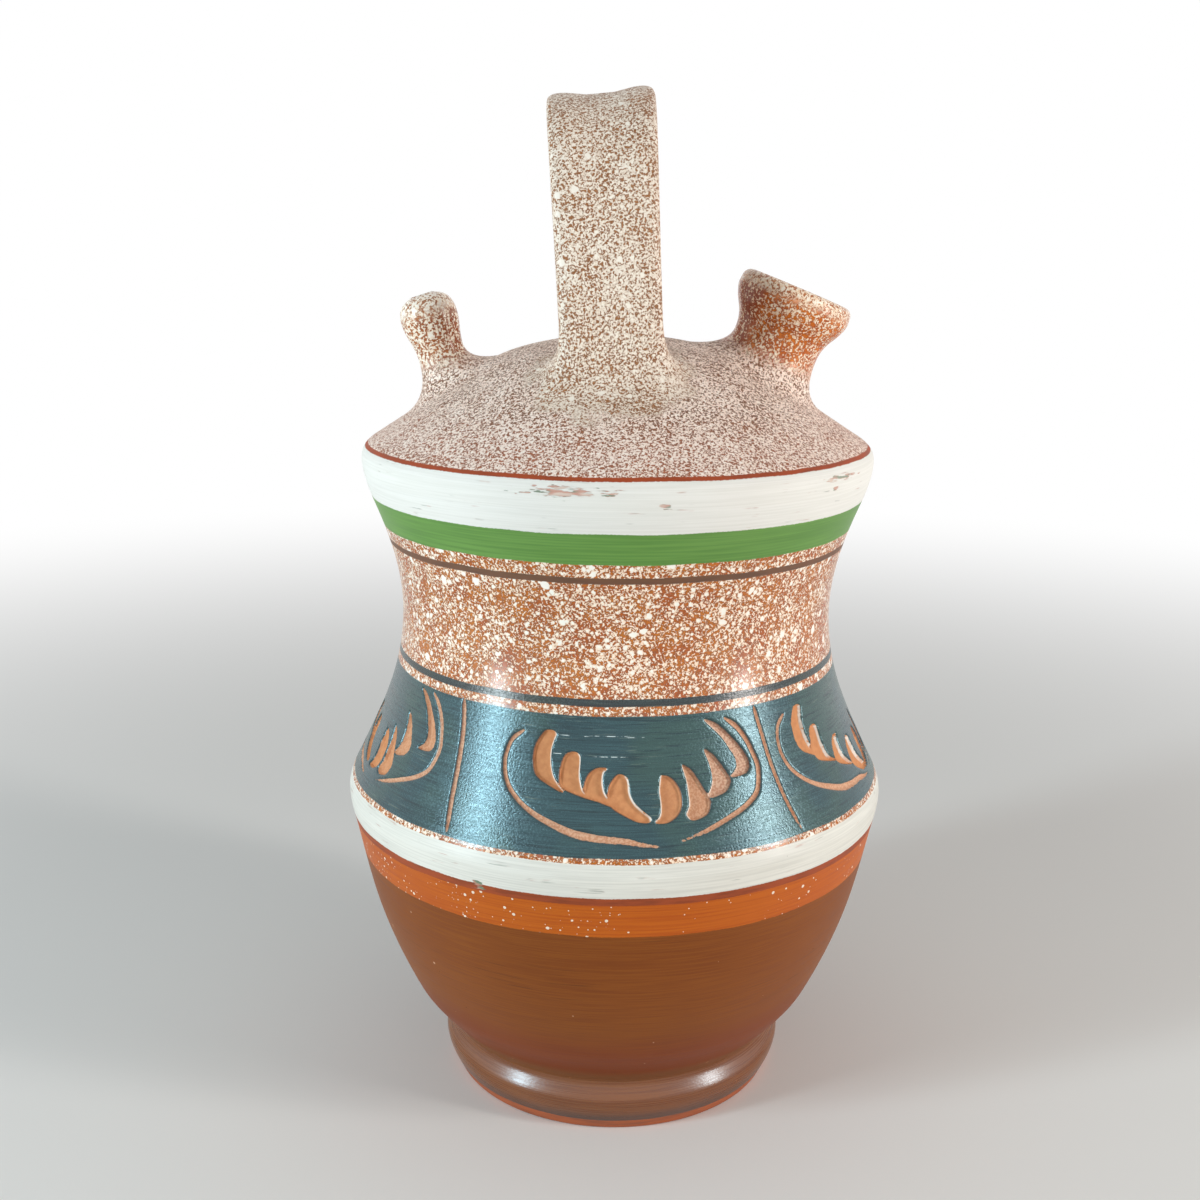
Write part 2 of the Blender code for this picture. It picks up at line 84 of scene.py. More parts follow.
def inside(low, high, count):
    line = []
    for z in np.linspace(low, high, count):
        radius, lean = lineAt(bodyLine, z)
        line.append((radius - clayWall * math.hypot(1, lean), z))
    return line


def domeTop(radius, lift=0.0):
    height, slope = lineAt(domeLine, radius)
    return height + lift * math.hypot(1, slope)


def bent(start, corner, end, count):  # points along a rounded corner
    points = []
    for share in np.linspace(0, 1, count):
        pulls = ((1 - share) ** 2, 2 * (1 - share) * share, share**2)
        points.append(tuple(np.dot(pulls, parts) for parts in zip(start, corner, end)))
    return points


# Making a piece: an outline is turned on the wheel, or rings are skinned.
def turned(outline, steps, isRing=True):
    shape = bmesh.new()
    verts = [shape.verts.new((radius, 0, height)) for radius, height in outline]
    edges = [shape.edges.new(pair) for pair in zip(verts, verts[1:])]
    if isRing:
        edges.append(shape.edges.new((verts[-1], verts[0])))
    turn = math.tau / wedges
    bmesh.ops.spin(shape, geom=verts + edges, axis=(0, 0, 1), angle=turn, steps=steps // wedges)
    while turn < math.pi * 1.01:  # the copied part doubles until the round is full
        copy = bmesh.ops.duplicate(shape, geom=[*shape.verts, *shape.edges, *shape.faces])["geom"]
        moving = [part for part in copy if isinstance(part, bmesh.types.BMVert)]
        bmesh.ops.rotate(shape, matrix=Matrix.Rotation(turn, 3, "Z"), verts=moving)
        turn *= 2
    bmesh.ops.remove_doubles(shape, verts=shape.verts, dist=weld)
    bmesh.ops.recalc_face_normals(shape, faces=shape.faces)
    return shape


def skinned(rings, isTyre):
    shape = bmesh.new()
    loops = []
    for ring in rings:
        verts = [shape.verts.new(point) for point in ring]
        loops.append([shape.edges.new(pair) for pair in zip(verts, verts[1:] + verts[:1])])
    if isTyre:
        loops.append(loops[0])
    for first, second in zip(loops, loops[1:]):
        bmesh.ops.bridge_loops(shape, edges=first + second)
    if not isTyre:
        for loop in (loops[0], loops[-1]):
            bmesh.ops.contextual_create(shape, geom=loop)
    bmesh.ops.recalc_face_normals(shape, faces=shape.faces)
    return shape


def shown(name, data):  # an object in the scene that holds a mesh, a lamp or a camera
    holder = bpy.data.objects.new(name, data)
    bpy.context.scene.collection.objects.link(holder)
    return holder


def meshed(name, shape, place=Matrix(), size=mm):
    bmesh.ops.transform(shape, matrix=place, verts=shape.verts)
    bmesh.ops.scale(shape, vec=(size, size, size), verts=shape.verts)
    mesh = bpy.data.meshes.new(name)
    shape.to_mesh(mesh)
    shape.free()
    return shown(name, mesh)


def finished(name, shape, finish, slot, *nodes, place=Matrix()):
    piece = meshed(name, shape, place)
    piece.data.shade_smooth()
    piece.data.set_sharp_from_angle(angle=math.radians(sharpFrom))
    piece.data.materials.append(finish)
    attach(piece, "root")
    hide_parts(*nodes)
    print(name, "made")
    return piece


# The finishes are worked out as maths on places, in millimetres.
def tint(red, green, blue):  # a colour as a screen shows it, made a share of light
    return (*(((level / 255 + 0.055) / 1.055) ** 2.4 for level in (red, green, blue)), 1.0)


class Wire:  # a socket of a finish: maths on it adds the nodes
    def __init__(self, finish, socket):
        self.finish = finish
        self.socket = socket

    def maths(self, operation, *values):
        return self.finish.node("Math", {"operation": operation}, dict(enumerate(values)))

    def __add__(self, other):
        return self.maths("ADD", self, other)

    def __radd__(self, other):
        return self.maths("ADD", other, self)

    def __sub__(self, other):
        return self.maths("SUBTRACT", self, other)

    def __rsub__(self, other):
        return self.maths("SUBTRACT", other, self)

    def __mul__(self, other):
        return self.maths("MULTIPLY", self, other)

    def __rmul__(self, other):
        return self.maths("MULTIPLY", other, self)

    def most(self, other):
        return self.maths("MAXIMUM", self, other)

    def rise(self, low, high):  # a soft step from 0 at low to 1 at high
        ease = {"interpolation_type": "SMOOTHSTEP"}
        return self.finish.node("MapRange", ease, {0: self, 1: low, 2: high})


class Finish:
    def __init__(self, name, holder=None):
        self.holder = holder or bpy.data.materials.new(name)
        self.holder.use_nodes = True
        self.tree = self.holder.node_tree
        self.tree.nodes.clear()
        metres = self.node("TexCoord", {}, {}, "Object")
        self.place = self.vector("SCALE", {0: metres, "Scale": 1 / mm})
        self.x, self.y, self.z = (
            self.node("SeparateXYZ", {}, {0: self.place}, axis) for axis in "XYZ"
        )

    def node(self, kind, settings, sockets, out=0):
        made = self.tree.nodes.new("ShaderNode" + kind)
        for key, value in settings.items():
            setattr(made, key, value)
        for key, value in sockets.items():
            if isinstance(value, Wire):
                self.tree.links.new(value.socket, made.inputs[key])
            else:
                made.inputs[key].default_value = value
        return Wire(self, made.outputs[out]) if made.outputs else made

    def vector(self, operation, sockets, out=0):
        return self.node("VectorMath", {"operation": operation}, sockets, out)

    def isUnder(self, value, limit):
        return self.node("Math", {"operation": "LESS_THAN"}, {0: value, 1: limit})

    def mixed(self, below, above, share):
        below, above = (
            colour if isinstance(colour, Wire) else tint(*colour) for colour in (below, above)
        )
        return self.node("Mix", {"data_type": "RGBA"}, {0: share, 6: below, 7: above}, 2)

    def tinged(self, coat, colour, share):  # changes the colour of the coat alone
        coat["colour"] = self.mixed(coat["colour"], colour, share)

    def scaled(self, across, up, shift):
        move = {"Vector": self.place, "Location": (shift, shift, shift)}
        move["Scale"] = (across, across, up)
        return self.node("Mapping", {}, move)

    def grain(self, size, detail=2.0, stretch=1.0, shift=0.0, twist=0.0):
        # clouds of about this size, drawn out along the turning of the wheel by the stretch
        place = self.scaled(1 / size / stretch, 1 / size, shift)
        look = {"Vector": place, "Scale": 1.0, "Detail": detail, "Distortion": twist}
        return self.node("TexNoise", {}, look)

    def drops(self, spacing, smallest, largest, share, shift=0.0):
        # how deep a place lies inside splashed drops, in millimetres
        place = self.scaled(1 / spacing, 1 / spacing, shift)
        cell = self.node("TexVoronoi", {}, {"Vector": place, "Scale": 1.0})
        luck = Wire(self, cell.socket.node.outputs["Color"])
        red, green = (self.node("SeparateColor", {}, {0: luck}, part) for part in ("Red", "Green"))
        radius = red * (largest - smallest) + smallest
        return self.isUnder(green, share) * (radius + 1) - 1 - cell * spacing

    def around(self, centre, halfSize, place=None):
        # 0 in the middle of an oval patch, 1 at its edge
        away = self.vector("SUBTRACT", {0: place or self.place, 1: centre})
        part = self.vector("DIVIDE", {0: away, 1: halfSize})
        return self.vector("LENGTH", {0: part}, "Value")

    def along(self, stand, axis):  # how far a place lies along an axis of a standing tube
        away = self.vector("SUBTRACT", {0: self.place, 1: stand.translation})
        return self.vector("DOT_PRODUCT", {0: away, 1: stand.to_3x3() @ Vector(axis)}, "Value")

    def laid(self, below, above, share):  # one coat over another where share is 1
        coat = {"colour": self.mixed(below["colour"], above["colour"], share)}
        for part in ("rough", "relief"):
            coat[part] = below[part] + (above[part] - below[part]) * share
        return coat

    def fired(self, coat, gloss=0.4, glossTint=(1.0, 1.0, 1.0)):  # the coat as a material
        bump = {"Strength": 1.0, "Distance": mm, "Height": coat["relief"]}
        normal = self.node("Bump", {}, bump, "Normal")
        look = {"Base Color": coat["colour"], "Roughness": coat["rough"], "Normal": normal}
        look["Specular IOR Level"] = gloss
        look["Specular Tint"] = (*glossTint, 1.0)
        shader = self.node("BsdfPrincipled", {}, look)
        self.node("OutputMaterial", {}, {"Surface": shader})
        return self.holder


# Coats of slip. A coat has a colour, a roughness and a relief in millimetres. The shift moves
# its clouds, so that no two coats show the same ones.
def even(colour, rough, relief=0.0):
    return {"colour": colour, "rough": rough, "relief": relief}


def brushed(f, dark, light, rough, size=0.6, deep=0.03, shift=0.0):
    streak = f.grain(size, 3.0, 60.0, shift)
    cloud = f.grain(15.0, 2.0, 3.0, shift + 5)
    share = (streak * 0.75 + cloud * 0.25).rise(0.36, 0.64)
    streak = streak - 0.5
    return even(f.mixed(dark, light, share), streak * 0.25 + rough, streak * deep)


def speckled(f, look, shift=0.0, thin=0.0):
    # spattered slip; where thin is 1 fewer drops show and the ground darkens to the edge tint, as
    # painted shade on a tube's side
    speck = f.grain(look["speck"], 1.5, 1.0, shift, 0.7)
    crowd = f.grain(look["crowd"], 2.0, 1.0, shift + 4)
    level = look["level"] - (crowd - 0.5) * look["gather"] + thin * 0.05
    depth = (speck - level) * (2 * look["speck"])
    for count, (spacing, smallest, largest, share) in enumerate(look["drops"]):
        ragged = (f.grain(largest, 2.0, 1.0, shift + count) - 0.5) * (1.5 * largest)
        crowded = (crowd - 0.5) * (3 * share) + share - thin * 0.2
        drop = f.drops(spacing, smallest, largest, crowded, shift + 2 * count)
        depth = depth.most(drop + ragged)
    cover = depth.rise(-look["soft"], look["soft"])
    tone = f.grain(look["crowd"] * 0.6, 3.0, 1.0, shift + 9)
    ground = f.mixed(*look["ground"], tone.rise(0.35, 0.65))
    edge = depth.rise(-0.26, -0.03) * 0.7
    # The ground darkens to the edge tint round each drop, and where thin is 1 as painted shade.
    ground = f.mixed(ground, look["edge"], edge.most(thin * 0.9))
    drop = f.mixed(*look["slip"], depth.rise(0.0, 0.35))
    bare, spattered = look["rough"]
    rough = cover * (spattered - bare) + bare
    return even(f.mixed(ground, drop, cover), rough, cover * look["relief"] + (tone - 0.5) * 0.05)


def plain(f, colour, rough):
    tone = f.grain(1.3, 3.0, 8.0, 2.0)
    colour = f.mixed([level * 0.86 for level in colour], colour, tone.rise(0.3, 0.6))
    tone = tone - 0.5
    return even(colour, tone * 0.3 + rough, tone * 0.04)


def banded(f, coats):  # coats laid over each other from the height at which each one starts
    waver = (f.grain(18.0, 1.0, 1.0, 3.0) - 0.5) * 0.7 + (f.grain(0.7, 1.0, 1.0, 8.0) - 0.5) * 0.3
    height = f.z + waver
    coat = coats[0][1]
    for start, above in coats[1:]:
        coat = f.laid(coat, above, height.rise(start - 0.1, start + 0.1))
    return coat


# Dark slip, with thin scratches through it as middle and half size.
darkLook = {
    "slip": ((24, 42, 46), (45, 69, 72)),
    "olive": (50, 70, 56),
    "gap": (12, 19, 20),
    "strand": (116, 126, 112),
    "scratch": (214, 224, 222),
    "scratches": (
        ((-12.0, -70.6, 136.5), (5.0, 5.0, 0.16)),
        ((-2.0, -71.6, 136.7), (6.5, 5.0, 0.14)),
        ((5.0, -71.5, 136.4), (3.5, 5.0, 0.12)),
        ((-15.5, -71.9, 131.5), (4.0, 5.0, 0.12)),
        ((-2.0, -73.5, 131.2), (5.5, 5.0, 0.13)),
    ),
}


def darkSlip(f):
    slip = brushed(f, *darkLook["slip"], rough=0.25, size=0.35, deep=0.016, shift=3.0)
    olive = f.grain(26.0, 2.0, 1.0, 13.0).rise(0.42, 0.62)
    f.tinged(slip, darkLook["olive"], olive * 0.65)
    gap = f.grain(0.42, 3.0, 30.0, 27.0).rise(0.56, 0.64)
    f.tinged(slip, darkLook["gap"], gap * 0.85)
    patches = f.grain(9.0, 1.0, 3.0, 2.0).rise(0.45, 0.6)
    strands = f.grain(0.36, 3.0, 25.0, 33.0).rise(0.62, 0.7) * patches
    f.tinged(slip, darkLook["strand"], strands * 0.55)
    for middle, half in darkLook["scratches"]:
        dash = f.grain(1.6, 2.0, 1.0, middle[0]).rise(0.42, 0.52)
        share = f.around(middle, half).rise(1.0, 0.6) * dash
        f.tinged(slip, darkLook["scratch"], share)
    sparkle = f.grain(0.6, 2.0, 1.0, 40.0)
    slip["relief"] = slip["relief"] - gap * 0.012 + (sparkle - 0.5) * 0.09
    slip["rough"] = slip["rough"] + (sparkle - 0.5) * 0.5
    return slip


# Spattered slips. The specks cover more where the level is lower, and gather in a crowd's clouds.
# Each row of drops: their spacing, smallest and largest radius, and the share of places hit.
waistLook = {
    "speck": 0.7,
    "level": 0.545,
    "crowd": 11.0,
    "gather": 0.18,
    "drops": ((1.4, 0.24, 0.6, 0.6), (2.3, 0.4, 0.9, 0.55), (5.0, 0.7, 1.45, 0.42)),
    "soft": 0.035,
    "ground": ((182, 84, 2), (202, 112, 14)),
    "edge": (116, 60, 14),
    "slip": ((250, 216, 184), (255, 248, 238)),
    "rough": (0.24, 0.22),
    "relief": 0.05,
}
domeLook = {
    "speck": 0.68,
    "level": 0.469,
    "crowd": 9.0,
    "gather": 0.12,
    "drops": ((1.5, 0.15, 0.42, 0.4), (4.5, 0.4, 0.8, 0.15)),
    "soft": 0.05,
    "ground": ((124, 86, 60), (150, 100, 68)),
    "edge": (98, 62, 40),
    "slip": ((242, 216, 200), (255, 244, 234)),
    "rough": (0.65, 0.6),
    "relief": 0.04,
}
strapLook = {
    "speck": 0.66,
    "level": 0.463,
    "crowd": 12.0,
    "gather": 0.16,
    "drops": ((1.7, 0.18, 0.5, 0.4), (4.2, 0.5, 1.25, 0.38)),
    "soft": 0.05,
    "ground": ((150, 98, 58), (172, 116, 70)),
    "edge": (122, 76, 42),
    "slip": ((226, 206, 186), (246, 236, 223)),
    "rough": (0.5, 0.45),
    "relief": 0.06,
}
mouthLook = {
    "speck": 0.8,
    "level": 0.53,
    "crowd": 8.0,
    "gather": 0.16,
    "drops": ((1.4, 0.18, 0.42, 0.5), (3.6, 0.3, 0.75, 0.28)),
    "soft": 0.05,
    "ground": ((192, 90, 6), (222, 122, 24)),
    # The edge tint is also the painted shade and painted reddish reflection on the mouth's side
    # towards the jug's middle.
    "edge": (136, 46, 6),
    "slip": ((244, 208, 172), (254, 244, 228)),
    "rough": (0.22, 0.26),
    "relief": 0.06,
}
rimLook = {**mouthLook, "level": 0.46, "ground": ((180, 108, 60), (206, 134, 82))}
spoutLook = {
    **mouthLook,
    "level": 0.495,
    "drops": ((1.5, 0.2, 0.5, 0.5), (3.0, 0.5, 1.3, 0.45)),
    "ground": ((154, 82, 26), (184, 112, 52)),
    "slip": ((248, 224, 196), (255, 248, 236)),
}
knobLook = {**spoutLook, "level": 0.44, "ground": ((160, 108, 68), (182, 130, 88))}


# White slip: on the ridge the lower tints, on the shoulder the upper ones. Its scuffs are those
# that the photograph shows: middle, half size, and how far they are worn.
whiteLook = {
    "upper": ((226, 224, 217), (234, 232, 226)),
    "lower": ((215, 213, 204), (230, 228, 219)),
    "upperOver": (104.0, 180.0),
    "thin": ((188, 150, 136), (150, 152, 142)),
    "speck": (104, 92, 84),
    "worn": ((196, 140, 122), (116, 134, 110)),
    "wornEdge": (214, 190, 176),
    "shoulderScuffs": (
        ((-13.5, -79.0, 207.3), (15.0, 8.0, 1.5), 0.9),
        ((12.5, -78.6, 203.6), (2.0, 4.0, 0.8), 0.8),
        ((61.4, -50.6, 204.5), (1.5, 2.5, 0.7), 0.8),
        ((64.0, -48.3, 207.3), (11.0, 14.0, 0.8), 0.8),
    ),
    "ridgeScuffs": (((-39.2, -76.6, 93.6), (2.4, 3.5, 1.9), 1.4),),
}


def whiteSlip(f):
    upper = brushed(f, *whiteLook["upper"], rough=0.6, size=0.5, deep=0.014, shift=11.0)
    lower = brushed(f, *whiteLook["lower"], rough=0.38, size=0.5, deep=0.02, shift=15.0)
    coat = f.laid(lower, upper, f.z.rise(*whiteLook["upperOver"]))
    thin = f.grain(0.8, 3.0, 16.0, 21.0).rise(0.61, 0.72)
    thin = thin * f.grain(9.0, 2.0, 1.0, 1.0).rise(0.5, 0.6)
    grey = f.grain(3.0, 2.0, 2.0, 6.0).rise(0.45, 0.55)
    under = f.mixed(*whiteLook["thin"], grey)
    f.tinged(coat, under, thin * 0.7)
    specks = f.drops(6.0, 0.08, 0.3, 0.35, 51.0).rise(-0.04, 0.06)
    f.tinged(coat, whiteLook["speck"], specks * 0.8)
    return coat


def scuffed(f, coat, scuffs):
    for middle, half, worn in whiteLook[scuffs]:
        ragged = (f.grain(0.7, 3.0, 6.0, 14.0) - 0.5) * 4.4
        share = (f.around(middle, half) + ragged).rise(0.75, 0.4) * min(worn, 1.0)
        tone = f.grain(1.0, 2.0, 7.0, 17.0)
        under = f.mixed(*whiteLook["worn"], tone.rise(0.5, 0.6))
        under = f.mixed(under, whiteLook["wornEdge"], tone.rise(0.5, 0.36))
        worked = even(under, 0.8, -0.15 * worn)
        coat = f.laid(coat, worked, share)
    return coat


# Foot ring: a turned bead on a flat, bare edge.
foot = {
    "bead": ((0.0, 52.8, 0.45), (10.8, 56.8, 0.0), (16.0, 54.9, -0.28), (footTop, 54.85, 0.25)),
    "edge": 0.8,
    "rounding": (0.3, 1.1),
    "hole": 42.5,
    "recess": 11.5,
    "seat": 45.75,
    "bareTo": 3.6,
    "bareUnder": 0.4,
    "glossOver": (4.0, 8.5),
    "steps": 320,
    "bare": (172, 84, 30),
    # The dark edge slip is a thin real line over the bare edge, carried up to where the glossy slip
    # takes over as painted shade under the bead.
    "edgeSlipAndShade": ((74, 40, 18), (94, 54, 28)),
    "glossy": ((114, 57, 5), (130, 71, 15)),
    "gloss": (1.0, (0.8, 0.93, 1.0)),
}


def footFinish():
    f = Finish("footSlip")
    bare = plain(f, foot["bare"], 0.85)
    # Over the bare edge a thin dark line, widened as painted shade under the bead.
    edge = brushed(f, *foot["edgeSlipAndShade"], rough=0.3, size=0.5, deep=0.02)
    glossy = brushed(f, *foot["glossy"], rough=0.28, size=0.4, deep=0.02, shift=2.0)
    glossy["relief"] = glossy["relief"] + (f.grain(0.5, 2.0, 2.0, 40.0) - 0.5) * 0.035
    coat = banded(f, ((0, bare), (foot["bareTo"], edge)))
    coat = f.laid(coat, glossy, f.z.rise(*foot["glossOver"]))
    coat = f.laid(coat, bare, f.isUnder(f.z, foot["bareUnder"]))
    return f.fired(coat, *foot["gloss"])


def makeFoot():
    edge = foot["edge"]
    outline = [(lineAt(foot["bead"], z)[0], z) for z in np.linspace(footTop, edge, 30)]
    low = outline[-1][0]
    corner, flat = (low - part for part in foot["rounding"])
    outline += bent((low, edge), (corner, 0.0), (flat, 0.0), 5)[1:]
    outline += bent((foot["hole"] + edge, 0.0), (foot["hole"], 0.0), (foot["hole"], edge), 4)
    outline += [(foot["hole"] + edge, foot["recess"]), (foot["seat"], foot["recess"])]
    shape = turned(outline, foot["steps"])
    finished("footRing", shape, footFinish(), "foot_slip", "foot_ring")


# Lower bowl: brown slip, an orange band, a red-brown line and the lower half of the white ridge.
bowl = {
    "orangeFrom": 80.8,
    "redFrom": 91.5,
    "whiteFrom": 93.9,
    # reddishUnder: below these heights the brown turns reddish, a painted reflection of red
    # surroundings
    "reddishUnder": (46.0, 30.0),
    # Just above the foot the brown is painted lighter over these heights: a painted sheen.
    "paintedSheenUnder": (24.5, 20.0),
    "neckTop": 20.0,
    "floorTop": 18.5,
    "turn": 30.5,
    "fillet": (14.0, 3.5),
    "steps": 400,
    # drops on the orange, as spacing, smallest and largest radius, thicker to the left of its run
    "drops": (2.4, 0.02, 0.55),
    "fineDrops": (1.3, 0.02, 0.24),
    "dropsRun": (30.0, -50.0),
    "brown": ((123, 59, 2), (136, 72, 12)),
    "reddish": ((120, 46, 2), (130, 58, 10)),
    "paintedSheen": (128, 88, 58),
    "strand": (76, 36, 6),
    "fleck": (206, 160, 128),
    "speck": (52, 30, 20),
    "orange": ((180, 80, 2), (194, 96, 10)),
    "cream": (244, 226, 204),
    "red": (160, 72, 36),
    "gloss": (0.34, (1.0, 0.92, 0.82)),
}


def bowlCoats(f):
    brown = brushed(f, *bowl["brown"], rough=0.44, size=0.3, deep=0.025, shift=1.0)
    # Low down the brown turns reddish: a painted reflection of red surroundings.
    reddish = brushed(f, *bowl["reddish"], rough=0.46, size=0.4, deep=0.03, shift=4.0)
    brown = f.laid(brown, reddish, f.z.rise(*bowl["reddishUnder"]) * 0.9)
    # A painted sheen: the brown is made lighter just above the foot.
    brown = f.laid(brown, even(bowl["paintedSheen"], 0.3), f.z.rise(*bowl["paintedSheenUnder"]) * 0.7)
    strands = f.grain(0.5, 3.0, 40.0, 37.0).rise(0.6, 0.68)
    strands = strands * f.grain(16.0, 2.0, 3.0, 9.0).rise(0.45, 0.6)
    f.tinged(brown, bowl["strand"], strands * 0.45)
    flecks = f.drops(5.0, 0.12, 0.5, 0.3, 31.0) + (f.grain(0.5, 2.0, 1.0, 3.0) - 0.5) * 0.25
    brown = f.laid(brown, even(bowl["fleck"], 0.7, 0.03), flecks.rise(-0.04, 0.06) * 0.75)
    specks = f.drops(7.0, 0.1, 0.3, 0.25, 44.0).rise(-0.04, 0.06) * 0.8
    brown = f.laid(brown, even(bowl["speck"], 0.6, -0.05), specks)
    orange = brushed(f, *bowl["orange"], rough=0.42, size=0.5, deep=0.03, shift=6.0)
    crowd = f.grain(14.0, 2.0, 1.0, 12.0).rise(0.25, 0.6) * (f.x.rise(*bowl["dropsRun"]) + 0.45)
    drops = f.drops(*bowl["drops"], crowd, 5.0)
    drops = drops.most(f.drops(*bowl["fineDrops"], crowd * 0.8, 9.0))
    drops = drops + (f.grain(0.8, 2.0, 1.0, 19.0) - 0.5) * 0.3
    orange = f.laid(orange, even(bowl["cream"], 0.5, 0.05), drops.rise(-0.05, 0.06))
    return (
        (0, brown),
        (bowl["orangeFrom"], orange),
        (bowl["redFrom"], plain(f, bowl["red"], 0.5)),
        (bowl["whiteFrom"], whiteSlip(f)),
    )


def bowlFinish():
    f = Finish("bowlSlip")
    coat = scuffed(f, banded(f, bowlCoats(f)), "ridgeScuffs")
    return f.fired(coat, *bowl["gloss"])


def makeBowl():
    outline = outside(ridgeAt, bowl["neckTop"], 84) + outside(bowl["neckTop"], footTop, 8)[1:]
    outline += [(foot["seat"], foot["recess"]), (0.0, foot["recess"]), (0.0, bowl["floorTop"])]
    low = inside(bowl["turn"], bowl["turn"], 1)[0]
    start, corner = ((low[0] - part, bowl["floorTop"]) for part in bowl["fillet"])
    outline += bent(start, corner, low, 8)
    outline += inside(bowl["turn"], ridgeAt, 14)[1:]
    shape = turned(outline, bowl["steps"])
    finished("lowerBowl", shape, bowlFinish(), "bowl_slip", "lower_bowl")


# Upper half of the ridge: white slip, with the spatter's lower edge just under the carved band.
ridge = {"speckFrom": 104.0, "steps": 400}


def ridgeFinish():
    f = Finish("ridgeSlip")
    coats = ((0, whiteSlip(f)), (ridge["speckFrom"], speckled(f, waistLook)))
    return f.fired(scuffed(f, banded(f, coats), "ridgeScuffs"))


def makeRidge():
    outline = outside(carving["low"], ridgeAt, 12) + inside(ridgeAt, carving["low"], 4)
    shape = turned(outline, ridge["steps"])
    finished("ridgeRing", shape, ridgeFinish(), "waist_slip", "waist_wall")


# Carved band: leaf sprays gouged through dark slip, each between two arcs, in five panels.
carving = {
    "low": 104.6,
    "high": 142.9,
    "slipFrom": 105.5,
    "slipTo": 142.05,
    "steps": 1088,
    "rows": 80,
    "perDegree": 78.0 * math.pi / 180,
    "leafDepth": 1.15,
    "lineDepth": 0.7,
    "wallWidth": 0.55,
    "wallStart": 0.15,
    "reach": 3.0,
    "sharpFrom": 60,
    # half width, how pale, and how far the right or the left side is lit
    "leftArc": (0.75, 0.65, 0.7),
    "rightArc": (0.75, 0.65, -0.7),
    "divider": (0.66, 0.55, 0.6),
    "leftDivider": (0.84, 0.8, 0.6),
    "dividerTurns": (0.0, 72.4, 143.5, -146.3),
    "rightLeafPale": (0.1, 0.5, 0.9, 1.0),
    "clay": ((199, 127, 73), (213, 143, 88)),
    "paleClay": ((192, 138, 110), (226, 187, 158)),
    # Painted light and shade on the cuts: the lit wall, the shaded wall and the shadow beside it.
    "litWall": (240, 230, 218),
    "shadedWall": (112, 62, 36),
    "shadow": (34, 34, 34),
    "gloss": (1.0, (0.58, 0.89, 1.0)),
}
# How the half width of a line changes from its first point to its last.
swells = {
    "line": ((0, 0.08, 0.5, 0.9, 1), (0.35, 1.0, 1.0, 0.8, 0.25)),
    "arc": ((0, 0.05, 0.45, 0.7, 0.85, 1), (0.4, 0.8, 0.8, 1.35, 1.0, 0.15)),
}
# The gouged leaves as outlines of (angle from the front, height): left to right, first those
# that lean left, whose right wall is lit, then those that lean right, whose left wall is lit.
leftLeaves = (
    ((-16.9, 137.0), (-15.8, 137.6), (-14.6, 137.5), (-13.8, 136.6), (-14.3, 134.7), (-14.7, 132.2),
     (-14.6, 129.6), (-14.2, 127.3), (-13.3, 124.8), (-11.1, 121.7), (-12.3, 121.8), (-15.5, 123.6),
     (-17.1, 124.7), (-18.1, 126.1), (-18.7, 128.3), (-18.9, 130.9), (-18.5, 133.8)),
    ((-11.5, 131.4), (-10.2, 132.2), (-8.9, 132.1), (-8.1, 131.2), (-8.0, 128.9), (-8.0, 126.5),
     (-7.6, 124.0), (-6.8, 122.0), (-4.0, 119.8), (-6.5, 120.4), (-10.8, 122.1), (-12.1, 123.2),
     (-12.5, 124.9), (-12.5, 127.5), (-12.1, 129.8)),
    ((-6.0, 126.9), (-4.7, 128.1), (-3.4, 128.4), (-2.0, 128.2), (-2.8, 127.0), (-3.0, 125.2),
     (-2.8, 123.2), (-2.1, 121.2), (0.7, 117.9), (-2.8, 119.1), (-6.2, 120.9), (-7.0, 122.4),
     (-7.0, 123.8), (-6.7, 125.3)),
    ((-1.0, 125.3), (0.0, 126.6), (1.1, 126.7), (2.2, 125.9), (2.6, 124.3), (2.8, 121.7),
     (3.7, 119.4), (5.1, 117.6), (7.0, 115.5), (6.5, 114.4), (5.0, 114.4), (3.3, 115.0),
     (-0.5, 117.6), (-1.8, 119.5), (-2.0, 121.7), (-1.7, 123.7)),
)
rightLeaves = (
    ((9.4, 126.0), (10.1, 126.2), (11.4, 125.7), (12.5, 124.4), (13.4, 122.4), (13.7, 120.1),
     (13.4, 117.6), (12.4, 115.7), (11.0, 114.5), (9.6, 114.0), (7.6, 114.3), (8.6, 115.7),
     (9.0, 117.4), (9.0, 120.0), (8.9, 122.5)),
    ((14.3, 128.5), (15.4, 128.0), (16.4, 127.0), (17.6, 124.6), (18.6, 122.1), (19.5, 119.9),
     (19.8, 118.1), (19.2, 116.1), (18.2, 115.0), (15.4, 114.2), (14.2, 115.7), (14.5, 116.7),
     (15.1, 118.4), (15.1, 121.5), (15.0, 124.3)),
    ((19.8, 132.2), (21.4, 131.0), (22.4, 129.7), (23.6, 127.4), (24.5, 125.4), (25.2, 123.4),
     (24.8, 121.9), (23.7, 120.5), (22.0, 119.8), (20.1, 119.4), (19.3, 120.3), (19.9, 121.1),
     (20.8, 123.4), (20.9, 126.0), (20.6, 128.6)),
    ((20.5, 140.0), (22.2, 139.6), (23.9, 138.4), (25.8, 136.2), (27.8, 133.4), (29.5, 130.4),
     (30.5, 127.7), (30.5, 125.8), (29.5, 124.4), (27.5, 123.9), (25.1, 123.9), (26.3, 125.1),
     (27.2, 126.5), (27.1, 129.2), (26.2, 131.2), (25.0, 133.9), (23.4, 136.3)),
)
